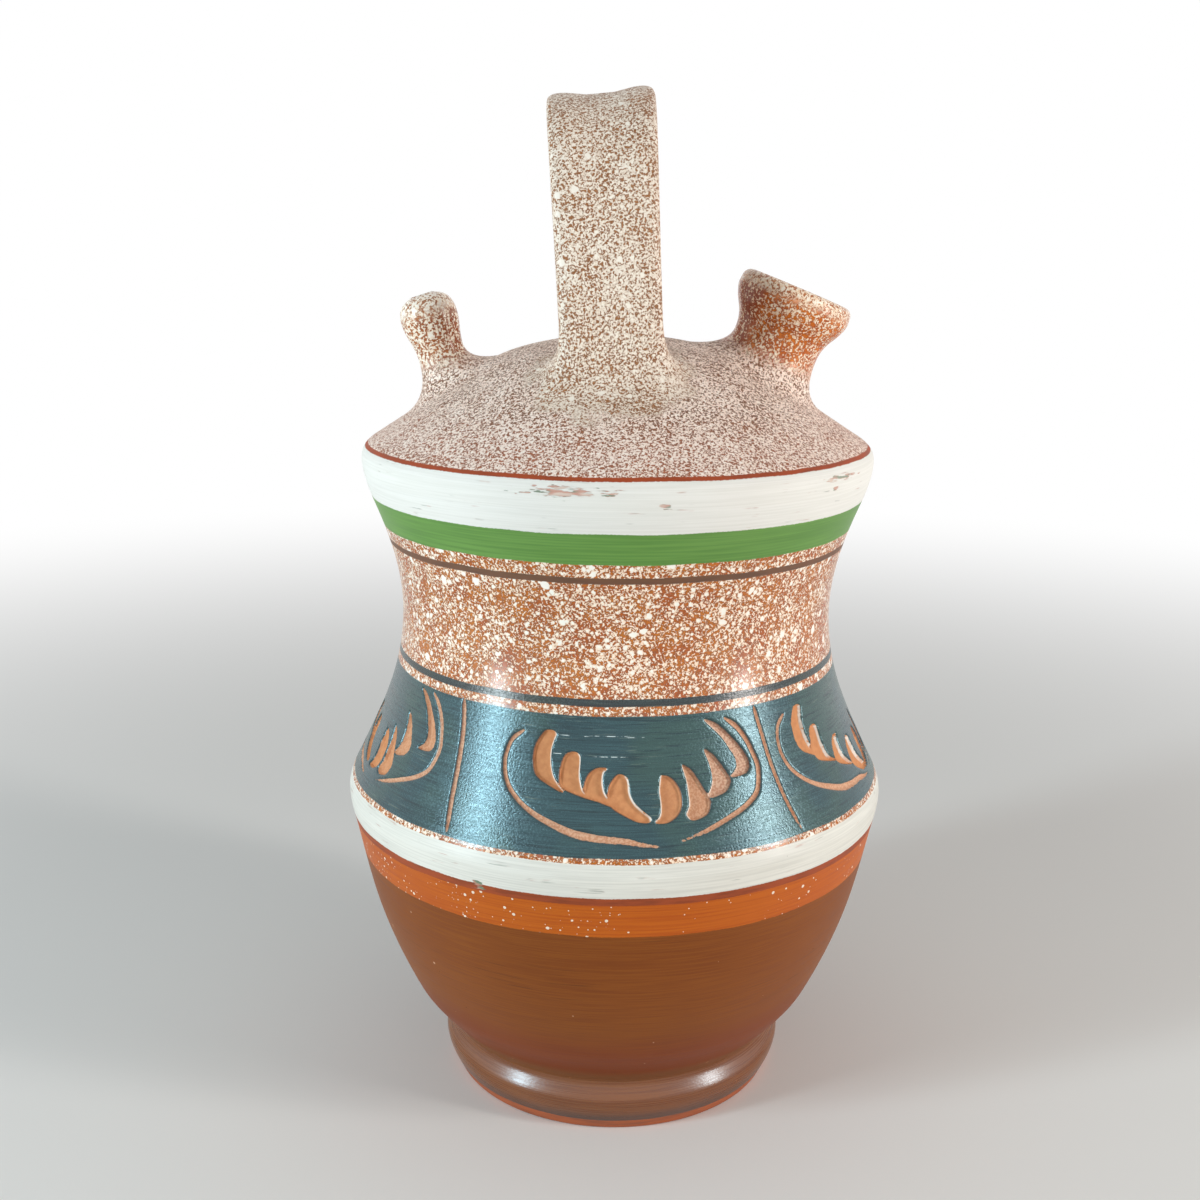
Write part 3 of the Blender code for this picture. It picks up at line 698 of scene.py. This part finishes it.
leftArc = (
    (-21.7, 136.7), (-24.3, 133.9), (-25.3, 129.5), (-24.9, 125.5), (-23.4, 121.7), (-20.5, 118.2),
    (-17.0, 115.5), (-13.1, 113.4), (-8.3, 111.3), (-3.2, 110.3), (1.7, 109.8), (5.6, 108.7),
    (9.1, 108.1),
)
rightArc = (
    (25.7, 139.9), (28.6, 137.1), (30.8, 133.1), (31.9, 129.4), (32.6, 125.8), (32.0, 121.8),
    (30.7, 118.7), (27.5, 116.0), (22.9, 113.6), (18.2, 111.4), (12.7, 109.3),
)
divider = ((34.3, 141.6), (35.5, 133.8), (36.5, 124.0), (37.9, 114.6), (40.0, 105.9))
leftDivider = ((-39.4, 142.0), (-38.0, 133.7), (-37.0, 124.0), (-36.2, 114.5), (-35.2, 106.3))
# Each panel: how far round it and each of its leaves are moved, and how far up.
panels = (
    {"left": [(0, 0)] * 4, "right": [(0, 0)] * 4,
     "leftArc": (0, 0), "rightArc": (0, 0), "lit": 1.0},
    {"left": ((64.3, 1.0), (63.4, -0.8), (65.9, -2.9), (68.4, -4.2)),
     "right": ((66.5, -4.0), (66.0, -2.5), (66.0, -1.5), (66.0, -0.8)),
     "leftArc": (65.2, 0.6), "rightArc": (66.0, -0.8), "lit": 0.9},
    {"left": ((-78.6, -0.5), (-79.0, -1.0), (-79.5, -1.5), (-79.0, -2.5)),
     "right": ((-78.0, -2.2), (-78.6, -1.9), (-79.2, 0.4), (-76.4, 0.6)),
     "leftArc": (-79.5, 0.4), "rightArc": (-76.3, 0.9), "lit": 0.4},
    {"left": ((139.6, 0.5), (140.4, 0.0), (140.9, -0.6), (140.2, 0.3)),
     "right": ((140.0, -0.6), (140.8, 0.2), (140.2, -0.4), (141.0, 0.3)),
     "leftArc": (139.5, 0.3), "rightArc": (140.8, -0.4), "lit": 0.8},
    {"left": ((-147.2, -0.3), (-146.6, 0.4), (-147.0, -0.8), (-146.1, -0.2)),
     "right": ((-146.4, -0.5), (-147.1, -0.6), (-146.2, 0.1), (-146.8, -0.4)),
     "leftArc": (-147.6, -0.5), "rightArc": (-146.0, 0.2), "lit": 0.8},
)


def moved(outline, move):
    return np.array(outline, float) + move


def smoothed(points, count):  # a smooth curve through points that have a neighbour at each end
    share = np.linspace(0, 1, count, endpoint=False)[:, None]
    spans = []
    for before, start, end, after in zip(points, points[1:], points[2:], points[3:]):
        bend = (2 * before - 5 * start + 4 * end - after) * share**2
        bend += (3 * start - before - 3 * end + after) * share**3
        spans.append(0.5 * (2 * start + (end - before) * share + bend))
    return np.concatenate(spans)


def inLeaf(x, z, outline):  # how deep each place lies in an outline, and where its wall is
    closed = smoothed(np.concatenate((outline[-1:], outline, outline[:2])), 4)
    run = np.roll(closed, -1, axis=0) - closed
    gap = np.stack((x, z), axis=1)[:, None] - closed
    share = np.clip((gap * run).sum(2) / (run**2).sum(1), 0, 1)
    off = gap - share[:, :, None] * run
    away = np.hypot(off[:, :, 0], off[:, :, 1])
    nearest = away.argmin(axis=1)
    rows = np.arange(len(x))
    above = closed[:, 1] > z[:, None]
    crossing = above != np.roll(above, -1, axis=1)
    reach = closed[:, 0] + gap[:, :, 1] * run[:, 0] / np.where(run[:, 1] == 0, 1, run[:, 1])
    isIn = (crossing & (x[:, None] < reach)).sum(axis=1) % 2 == 1
    deep = np.where(isIn, 1, -1) * away[rows, nearest]
    return deep, -off[rows, nearest, 0] / np.maximum(away[rows, nearest], 0.01) * np.sign(deep)


def inLine(x, z, line, half, swell):  # the same for a line cut with a round point
    curve = smoothed(np.concatenate((line[:1], line, line[-1:])), 14)
    widths = half * np.interp(np.linspace(0, 1, len(curve)), *swells[swell])
    gapX, gapZ = x[:, None] - curve[:, 0], z[:, None] - curve[:, 1]
    depths = widths - np.hypot(gapX, gapZ)
    nearest = depths.argmax(axis=1)
    rows = np.arange(len(x))
    deep = depths[rows, nearest]
    return deep, np.clip(gapX[rows, nearest] / half, -1, 1)


def listCuts():  # (form, outline, half width, how pale, which side is lit)
    cuts = []
    for panel in panels:
        lit = panel["lit"]
        for leaf, move in zip(leftLeaves, panel["left"]):
            cuts.append(("leaf", moved(leaf, move), 0.0, 0.0, lit))
        for leaf, move, pale in zip(rightLeaves, panel["right"], carving["rightLeafPale"]):
            cuts.append(("leaf", moved(leaf, move), 0.0, pale * lit, -lit))
        cuts.append(("arc", moved(leftArc, panel["leftArc"]), *carving["leftArc"]))
        cuts.append(("line", moved(rightArc, panel["rightArc"]), *carving["rightArc"]))
    for turn in carving["dividerTurns"]:
        cuts.append(("line", moved(divider, (turn, 0.0)), *carving["divider"]))
    cuts.append(("line", moved(leftDivider, (0.0, 0.0)), *carving["leftDivider"]))
    return cuts


def carve(piece):
    mesh = piece.data
    count = len(mesh.vertices)
    place = np.empty(count * 3)
    mesh.vertices.foreach_get("co", place)
    place = place.reshape(-1, 3) / mm
    angle = np.degrees(np.arctan2(place[:, 0], -place[:, 1]))
    height = place[:, 2]
    radius = np.hypot(place[:, 0], place[:, 1])
    heights = np.linspace(carving["low"], carving["high"], 60)
    line = np.array([lineAt(bodyLine, z) for z in heights])
    isOuter = radius > np.interp(height, heights, line[:, 0]) - 1
    reach = carving["reach"]
    depth = np.full(count, -reach)
    paintedLightSide, paleness, sunk = np.zeros(count), np.zeros(count), np.zeros(count)
    for form, outline, half, pale, lit in listCuts():
        middle = outline[:, 0].mean()
        outline = (outline - (middle, 0)) * (carving["perDegree"], 1)
        x = ((angle - middle + 180) % 360 - 180) * carving["perDegree"]
        low, high = outline.min(axis=0) - reach, outline.max(axis=0) + reach
        isNear = isOuter & (x > low[0]) & (x < high[0]) & (height > low[1]) & (height < high[1])
        near = np.flatnonzero(isNear)
        if form == "leaf":
            deep, side = inLeaf(x[near], height[near], outline)
            full = carving["leafDepth"]
        else:
            deep, side = inLine(x[near], height[near], outline, half, form)
            full = carving["lineDepth"]
        share = np.clip((deep + carving["wallStart"]) / carving["wallWidth"], 0, 1)
        sunk[near] = np.maximum(sunk[near], full * share * share * (3 - 2 * share))
        isDeepest = deep > depth[near]
        chosen = near[isDeepest]
        depth[chosen] = deep[isDeepest]
        # Which wall is painted light (above 0) and which painted shade (below 0).
        paintedLightSide[chosen] = side[isDeepest] * lit
        paleness[chosen] = pale
    lean = np.interp(height, heights, line[:, 1])
    tilt = np.hypot(1, lean)
    new = place.copy()
    new[:, 0] -= sunk / tilt * place[:, 0] / radius
    new[:, 1] -= sunk / tilt * place[:, 1] / radius
    new[:, 2] += sunk / tilt * lean
    mesh.vertices.foreach_set("co", (new * mm).ravel())
    for name, values in (("carved", depth), ("paintedLightSide", paintedLightSide), ("pale", paleness)):
        layer = mesh.attributes.new(name, "FLOAT", "POINT")
        layer.data.foreach_set("value", values.astype(np.float32))
    mesh.update()


def carvedFinish():
    f = Finish("carvedSlip")
    carved, paintedLightSide, pale = (
        f.node("Attribute", {"attribute_name": name}, {}, "Fac")
        for name in ("carved", "paintedLightSide", "pale")
    )
    spatterCoat = speckled(f, waistLook)
    slip = darkSlip(f)
    coat = banded(
        f, ((0, spatterCoat), (carving["slipFrom"], slip), (carving["slipTo"], spatterCoat))
    )
    ragged = (f.grain(1.1, 3.0, 1.0, 50.0) - 0.5) * (f.z.rise(113.0, 109.5) * 0.45 + 0.1)
    cut = carved + ragged
    tone = f.grain(1.6, 4.0, 1.0, 60.0)
    clay = f.mixed(*carving["clay"], tone.rise(0.3, 0.7))
    fine = f.grain(0.6, 3.0, 1.0, 71.0).rise(0.4, 0.6)
    clay = f.mixed(clay, f.mixed(*carving["paleClay"], fine), pale)
    # Painted highlight on the lit wall, painted shade on the other wall, and a painted shadow on
    # the slip beside it.
    clay = f.mixed(clay, carving["litWall"], cut.rise(0.62, 0.22) * paintedLightSide.rise(0.35, 0.8))
    clay = f.mixed(clay, carving["shadedWall"], cut.rise(0.4, 0.05) * paintedLightSide.rise(0.1, -0.6) * 0.8)
    bare = even(clay, 0.85, (tone - 0.5) * 0.1)
    shadow = cut.rise(-0.5, -0.1) * paintedLightSide.rise(0.3, -0.5) * 0.55
    f.tinged(coat, carving["shadow"], shadow)
    coat = f.laid(coat, bare, cut.rise(-0.06, 0.06))
    return f.fired(coat, *carving["gloss"])


def makeCarvedBand():
    outline = outside(carving["high"], carving["low"], carving["rows"] + 1)
    outline += inside(carving["low"], carving["high"], 2)
    shape = turned(outline, carving["steps"])
    band = finished("carvedBand", shape, carvedFinish(), "waist_slip", "waist_wall")
    carve(band)
    band.data.set_sharp_from_angle(angle=math.radians(carving["sharpFrom"]))


# Painted waist: cream spatter over terracotta, a dark line and a brown one, green and white.
waist = {
    "bands": (
        (0.0, "spatter"), (144.7, "dark"), (146.8, "spatter"), (180.7, "brown"),
        (182.6, "spatter"), (186.5, "green"), (195.7, "white"),
    ),
    "top": 202.5,
    "steps": 400,
    "brown": (106, 64, 32),
    "green": ((80, 131, 42), (100, 149, 58)),
    "darker": (10, 16, 18),
    "gloss": 0.78,
}


def waistFinish():
    f = Finish("waistSlip")
    coats = {
        "spatter": speckled(f, waistLook),
        "dark": darkSlip(f),
        "brown": plain(f, waist["brown"], 0.5),
        "green": brushed(f, *waist["green"], rough=0.42, size=0.6, deep=0.02, shift=9.0),
        "white": whiteSlip(f),
    }
    f.tinged(coats["dark"], waist["darker"], 0.5)
    coat = banded(f, [(start, coats[name]) for start, name in waist["bands"]])
    return f.fired(scuffed(f, coat, "shoulderScuffs"), waist["gloss"])


def makeWaist():
    outline = outside(waist["top"], carving["high"], 64)
    outline += inside(carving["high"], waist["top"], 14)
    shape = turned(outline, waist["steps"])
    finished("paintedWaist", shape, waistFinish(), "waist_slip", "waist_wall")


# The tubes that stand on the dome: the side and distance of the seat, and how far they lean.
def seatFrame(seat, lean):
    turn = Matrix.Rotation(math.copysign(math.radians(lean), seat), 4, "Y")
    return Matrix.Translation((seat, 0, domeTop(abs(seat)))) @ turn


def onDome(place, x, y, lift, reach=33.0):
    # where the line through (x, y) along the place's own axis meets the dome
    low, high = -reach, reach
    for _ in range(40):
        middle = (low + high) / 2
        point = place @ Vector((x, y, middle))
        if point.z > domeTop(math.hypot(point.x, point.y), lift):
            high = middle
        else:
            low = middle
    return place @ Vector((x, y, middle))


# Each tube's line gives (height, radius, slope) from its neck on. Its own spatter starts over
# the heights in startOver, and its end's over those in endOver. On the tube's side towards the
# jug's middle, over the places in shaded and as far as shade says, fewer drops show and the
# ground darkens to the look's edge tint: painted shade, on the mouth with a painted reddish
# reflection.
mouth = {
    "seat": 45.5,
    "lean": 22.0,
    "rootRadius": 13.7,
    "neck": 9.8,
    "line": (
        (9.8, 13.7, 0.0), (15.0, 14.8, 0.45), (19.6, 17.2, 0.38), (23.0, 18.15, 0.0),
        (24.9, 18.0, -0.06),
    ),
    "lip": 2.8,
    "bore": 9.5,
    "spread": (8.0, 22.0),
    "steps": 144,
    "look": mouthLook,
    "startOver": (1.5, 8.0),
    "endLook": rimLook,
    "endOver": (22.0, 25.5),
    "shift": 30.0,
    "shaded": (-8.0, -12.5),
    "shade": 1.0,
    "gloss": (0.6, (1.0, 0.9, 0.8)),
}
spout = {
    "seat": -52.2,
    "lean": 18.0,
    "rootRadius": 7.4,
    "neck": 11.0,
    "line": ((11.0, 7.4, 0.0), (21.2, 8.9, 0.0)),
    "knobLength": 7.6,
    "knobPower": 2.6,
    "hole": 2.6,
    "holeRounding": (0.9, 1.1),
    "bore": 4.2,
    "spread": (10.0, 25.0),
    "steps": 112,
    "look": spoutLook,
    "startOver": (3.0, 11.0),
    "endLook": knobLook,
    "endOver": (20.0, 26.5),
    "shift": 40.0,
    "shaded": (2.0, 7.5),
    "shade": 0.7,
    "gloss": (0.65, (1.0, 0.94, 0.88)),
}
buried = -3.5  # how far the tubes run on into the dome's clay
straightTo = 4.0  # up to this height the tubes are plain cylinders
mouth["stand"] = seatFrame(mouth["seat"], mouth["lean"])
spout["stand"] = seatFrame(spout["seat"], spout["lean"])


def wholeCircle(radius, steps):
    def outline(step, outset):
        turn = math.tau * step / steps
        return (radius + outset) * math.cos(turn), (radius + outset) * math.sin(turn)

    return outline


# The roots: clay smoothed from a tube or the strap out onto the dome.
root = {"skin": 0.02, "under": 1.2, "sunk": -0.8, "drop": 0.4, "narrowing": 1.5, "rows": 14}


def makeRoot(name, place, outline, look, height, finish, node):
    columns = []
    inward = -math.copysign(1, place.translation.x)
    near, far = look["spread"]
    for step in range(look["steps"]):
        crest = outline(step, -root["skin"])
        facing = max(0.0, inward * crest[0] / math.hypot(*crest)) ** root["narrowing"]
        outer = outline(step, near + (far - near) * facing)
        under = outline(step, -root["under"])
        sweep = bent(
            place @ Vector((*crest, height - root["drop"])),
            onDome(place, *crest, root["skin"]),
            onDome(place, *outer, root["skin"]),
            root["rows"],
        )
        hidden = [onDome(place, *end, root["sunk"]) for end in (outer, under)]
        columns.append([*sweep, *hidden])
    shape = skinned([list(ring) for ring in zip(*columns)], isTyre=True)
    finished(name, shape, finish, "coil_speckle", node)


# Dome: white on its turned-down rim, a red line, and spatter that changes near the strap's feet
# and the tubes. The patch is an oval round the front foot, mirrored to the rear one.
dome = {
    "redFrom": 210.3,
    "speckFrom": 211.35,
    "reddishUnder": (228.0, 214.0),
    "patch": ((-2.0, 38.0, 234.0), (23.0, 21.0, 24.0)),
    "bendFrom": 76.6,
    "rim": domeLine[-1][:2],
    "rimEnd": bodyLine[-1][0],
    "steps": 320,
    "cutter": {"segments": 72, "depth": 60.0},
    "reddish": {"ground": ((160, 102, 76), (182, 112, 80)), "edge": (126, 76, 54)},
    "red": (160, 68, 32),
    "gloss": (0.35, (1.0, 0.94, 0.88)),
}


def topFinish(name, *tubes, isByStrap=False):
    f = Finish(name)
    reddish = speckled(f, {**domeLook, **dome["reddish"]})
    coat = f.laid(speckled(f, domeLook), reddish, f.z.rise(*dome["reddishUnder"]))
    ragged = (f.grain(7.0, 3.0, 1.0, 5.0) - 0.5) * 0.9
    if isByStrap:
        side = f.y.maths("ABSOLUTE", f.y)
        onOneSide = f.node("CombineXYZ", {}, {"X": f.x, "Y": side, "Z": f.z})
        share = (f.around(*dome["patch"], onOneSide) + ragged).rise(1.2, 0.85)
        coat = f.laid(coat, speckled(f, strapLook, 20.0), share)
    for tube in tubes:
        height = f.along(tube["stand"], (0, 0, 1)) + ragged * 4
        # Painted shade on the tube's side towards the jug's middle, with a painted reddish
        # reflection on the mouth.
        shaded = f.along(tube["stand"], (1, 0, 0)).rise(*tube["shaded"]) * tube["shade"]
        spatter = speckled(f, tube["look"], tube["shift"], shaded)
        coat = f.laid(coat, spatter, height.rise(*tube["startOver"]))
        spatter = speckled(f, tube["endLook"], tube["shift"] + 4)
        coat = f.laid(coat, spatter, height.rise(*tube["endOver"]))
    return f, coat


def domeFinish():
    f, coat = topFinish("domeSlip", mouth, spout, isByStrap=True)
    red = plain(f, dome["red"], 0.6)
    white = scuffed(f, whiteSlip(f), "shoulderScuffs")
    coats = ((0, white), (dome["redFrom"], red), (dome["speckFrom"], coat))
    return f.fired(banded(f, coats), *dome["gloss"])


def pierce(piece, stand, bore):
    shape = bmesh.new()
    bmesh.ops.create_cone(shape, cap_ends=True, radius1=bore, radius2=bore, **dome["cutter"])
    cutter = meshed("cutter", shape, stand)
    hole = piece.modifiers.new("hole", "BOOLEAN")
    hole.operation = "DIFFERENCE"
    hole.solver = "EXACT"
    hole.object = cutter
    bpy.context.view_layer.update()
    seen = piece.evaluated_get(bpy.context.evaluated_depsgraph_get())
    made = bpy.data.meshes.new_from_object(seen)
    piece.modifiers.clear()
    piece.data = made
    bpy.data.objects.remove(cutter, do_unlink=True)


def makeDome():
    rim, height = dome["rim"]
    outline = [(radius, domeTop(radius)) for radius in np.linspace(0, dome["bendFrom"], 54)]
    outline += bent(outline[-1], (rim, height), (rim, dome["rimEnd"]), 10)[1:]
    outline += outside(dome["rimEnd"], waist["top"], 6)[1:]
    low = inside(waist["top"], waist["top"], 1)[0]
    bend = low[0] - clayWall
    outline += bent(low, (low[0], domeTop(low[0], -clayWall)), (bend, domeTop(bend, -clayWall)), 6)
    outline += [(radius, domeTop(radius, -clayWall)) for radius in np.linspace(bend, 0, 14)[1:]]
    shape = turned(outline, dome["steps"], isRing=False)
    piece = finished("closedDome", shape, domeFinish(), "dome_speckle", "dome")
    for tube in (mouth, spout):
        pierce(piece, tube["stand"], tube["bore"])
    print("dome pierced")


def tubeOutline(tube, top, count):  # the outer face, from inside the dome's clay to the top
    outline = [(tube["rootRadius"], buried), (tube["rootRadius"], straightTo)]
    heights = np.linspace(tube["neck"], top, count)
    return outline + [(lineAt(tube["line"], z)[0], z) for z in heights]


def makeTube(tube, outline, glaze, pieces, slot, nodes):  # a tube with its root
    shape = turned(outline, tube["steps"])
    finished(pieces[0], shape, glaze, slot, nodes[0], place=tube["stand"])
    circle = wholeCircle(tube["rootRadius"], tube["steps"])
    makeRoot(pieces[1], tube["stand"], circle, tube, tube["neck"], glaze, nodes[1])


def makeMouth():
    f, coat = topFinish("mouthGlaze", mouth)
    glaze = f.fired(coat, *mouth["gloss"])
    rim = mouth["line"][-1]
    lipRadius = rim[1] - mouth["lip"]
    cup = ((mouth["neck"], mouth["bore"], 0.0), (rim[0], lipRadius - mouth["lip"], 0.5))
    outline = tubeOutline(mouth, rim[0], 26)
    for turn in np.linspace(0, math.pi, 16)[1:]:
        across = lipRadius + mouth["lip"] * math.cos(turn)
        outline.append((across, rim[0] + mouth["lip"] * math.sin(turn)))
    outline += [(lineAt(cup, z)[0], z) for z in np.linspace(rim[0], mouth["neck"], 16)[1:]]
    outline += [(mouth["bore"], buried)]
    pieces, nodes = ("fillingMouth", "mouthRoot"), ("filling_mouth", "mouth_coil")
    makeTube(mouth, outline, glaze, pieces, "mouth_speckle", nodes)


def makeSpout():
    f, coat = topFinish("spoutGlaze", spout)
    glaze = f.fired(coat, *spout["gloss"])
    knob = spout["line"][-1]
    power = 2 / spout["knobPower"]
    end = knob[0] + spout["knobLength"]
    hole = spout["hole"]
    wider, deeper = spout["holeRounding"]
    outline = tubeOutline(spout, knob[0], 18)
    for turn in np.linspace(0, math.pi / 2, 26)[1:-1]:
        radius = knob[1] * math.cos(turn) ** power
        if radius > hole + wider + 0.3:
            outline.append((radius, knob[0] + spout["knobLength"] * math.sin(turn) ** power))
    outline += bent((hole + wider, end - 0.02), (hole, end), (hole, end - deeper), 6)
    outline += [(hole, knob[0]), (spout["bore"], spout["neck"]), (spout["bore"], buried)]
    pieces, nodes = ("drinkingSpout", "spoutRoot"), ("drinking_spout", "spout_coil")
    makeTube(spout, outline, glaze, pieces, "spout_speckle", nodes)


# Strap handle: a pulled bar of clay, hollowed along its outer face towards the top.
strap = {
    "reach": 37.0,
    "top": 316.85,
    "leg": 13.0,
    "archPower": 2.5,
    "topWidth": 32.2,
    "legWidth": 29.9,
    "thick": 9.5,
    "edgePower": 4.4,
    "hollow": 2.0,
    "highEdge": 0.7,
    "shift": -2.0,
    "lean": 3.0,
    "sunk": -2.0,
    "spread": (9.0, 9.0),
    "steps": 64,
    "rings": 89,
}


def strapOutline(step, outset, width=strap["legWidth"], working=0.0):
    turn = math.tau * (step + 0.5) / strap["steps"]
    power = 2 / strap["edgePower"]
    x, y = (math.copysign(abs(part) ** power, part) for part in (math.cos(turn), math.sin(turn)))
    steep = strap["edgePower"] - 1
    slope = (math.copysign(abs(part) ** steep, part) for part in (x, y))
    normal = Vector([part / size for part, size in zip(slope, (width, strap["thick"]))])
    normal.normalize()
    raised = strap["highEdge"] * x - strap["hollow"] * math.cos(x * math.pi / 2) ** 2
    return (
        x * width / 2 + outset * normal.x,
        y * strap["thick"] / 2 + working * raised * max(y, 0.0) + outset * normal.y,
    )


def makeStrap():
    base = Matrix.Translation((strap["shift"], 0, domeTop(strap["reach"])))
    arch = base @ Matrix.Rotation(-math.radians(strap["lean"]), 4, "Y")
    front = arch @ Matrix.Translation((0, -strap["reach"], 0)) @ Matrix.Rotation(math.pi, 4, "Z")
    rear = arch @ Matrix.Translation((0, strap["reach"], 0))
    crown = strap["top"] - strap["thick"] / 2 - domeTop(strap["reach"]) - strap["leg"]
    power = 2 / strap["archPower"]
    steps = range(strap["steps"])
    legs = [strapOutline(step, 0.0) for step in steps]
    rings = [[onDome(front, -x, y, strap["sunk"]) for x, y in legs]]
    for turn in np.linspace(0, math.pi, strap["rings"]):
        across, up = -math.cos(turn), math.sin(turn)
        rise = up**power
        run = math.copysign(abs(across) ** power, across) * strap["reach"]
        centre = Vector((0, run, strap["leg"] + rise * crown))
        steep = math.copysign(abs(across) ** (2 - power), across) / strap["reach"]
        normal = Vector((0, steep, up ** (2 - power) / crown)).normalized()
        width = strap["legWidth"] + (strap["topWidth"] - strap["legWidth"]) * rise * rise
        section = [strapOutline(step, 0.0, width, rise * rise) for step in steps]
        rings.append([arch @ (centre + Vector((x, 0, 0)) + normal * y) for x, y in section])
    rings.append([onDome(rear, x, y, strap["sunk"]) for x, y in legs])
    f = Finish("strapSlip")
    slip = f.fired(speckled(f, strapLook, 20.0))
    finished("strapHandle", skinned(rings, isTyre=False), slip, "handle_speckle", "strap_handle")
    f, coat = topFinish("rootSlip", isByStrap=True)
    slip = f.fired(coat)
    makeRoot("frontRoot", front, strapOutline, strap, strap["leg"], slip, "front_handle_coil")
    makeRoot("rearRoot", rear, strapOutline, strap, strap["leg"], slip, "rear_handle_coil")


# The room: a pale floor that fades into white, two soft lamps and an even sky, in metres.
# Each lamp: name, turn from the front, height angle, distance, size, watts and colour.
room = {
    "floorRadius": 4.0,
    "floorTint": (236, 235, 232),
    "fade": (0.25, 1.1),
    "sky": 0.38,
    "aim": 0.15,
    "lamps": (
        ("leftLamp", -60.0, 12.0, 1.15, (0.15, 0.76), 9.6, (0.80, 0.94, 1.0)),
        ("rightLamp", 66.0, 12.0, 1.15, (0.15, 0.76), 8.4, (1.0, 0.97, 0.94)),
    ),
}
cameraLook = {
    "place": (-5.1165, -471.588, 274.277),
    "down": 13.7696,
    "roll": 0.43198,
    "lens": 44.818,
    "sensor": 36.0,
}


def unlitView(f):  # 1 where a ray comes from the camera or from gloss or glass
    path = f.node("LightPath", {}, {})
    outputs = path.socket.node.outputs
    for name in ("Is Glossy Ray", "Is Transmission Ray"):
        path = path.most(Wire(f, outputs[name]))
    return path


def makeRoom():
    shape = bmesh.new()
    bmesh.ops.create_circle(shape, cap_ends=True, segments=96, radius=room["floorRadius"])
    floor = meshed("floor", shape, size=1.0)
    f = Finish("floorPaint")
    matt = f.node("BsdfDiffuse", {}, {"Color": tint(*room["floorTint"])})
    white = f.node("Emission", {}, {"Color": (1, 1, 1, 1), "Strength": 1.0})
    far = f.vector("LENGTH", {0: f.place}, "Value")
    share = unlitView(f) * far.rise(*(reach / mm for reach in room["fade"]))
    both = f.node("MixShader", {}, {0: share, 1: matt, 2: white})
    f.node("OutputMaterial", {}, {"Surface": both})
    floor.data.materials.append(f.holder)

    world = bpy.data.worlds.new("sky")
    bpy.context.scene.world = world
    sky = Finish("sky", world)
    strength = unlitView(sky) * (1 - room["sky"]) + room["sky"]
    light = sky.node("Background", {}, {"Color": (1, 1, 1, 1), "Strength": strength})
    sky.node("OutputWorld", {}, {"Surface": light})

    for name, side, up, away, size, power, colour in room["lamps"]:
        lamp = bpy.data.lights.new(name, "AREA")
        lamp.shape = "RECTANGLE"
        lamp.size, lamp.size_y = size
        lamp.energy = power
        lamp.color = colour
        turn, lift = math.radians(side), math.radians(up)
        level = math.cos(lift)
        way = Vector((math.sin(turn) * level, -math.cos(turn) * level, math.sin(lift)))
        facing = way.to_track_quat("Z", "Y").to_matrix().to_4x4()
        place = Matrix.Translation(way * away + Vector((0, 0, room["aim"])))
        shown(name, lamp).matrix_world = place @ facing


def makeCamera():
    down, roll = math.radians(cameraLook["down"]), math.radians(cameraLook["roll"])
    right = (math.cos(roll), math.sin(roll) * math.sin(down), math.sin(roll) * math.cos(down))
    up = (-math.sin(roll), math.cos(roll) * math.sin(down), math.cos(roll) * math.cos(down))
    back = Vector(right).cross(Vector(up))
    turn = Matrix((right, up, back)).transposed().to_4x4()
    lens = bpy.data.cameras.new("camera")
    lens.lens = cameraLook["lens"]
    lens.sensor_width = cameraLook["sensor"]
    lens.clip_start = 0.01
    camera = shown("camera", lens)
    camera.matrix_world = Matrix.Translation(Vector(cameraLook["place"]) * mm) @ turn
    bpy.context.scene.camera = camera


makeFoot()
makeBowl()
makeRidge()
makeCarvedBand()
makeWaist()
makeDome()
makeMouth()
makeSpout()
makeStrap()
makeRoom()
makeCamera()
bpy.context.scene.view_settings.view_transform = "Standard"
print("room, lamps and camera set")
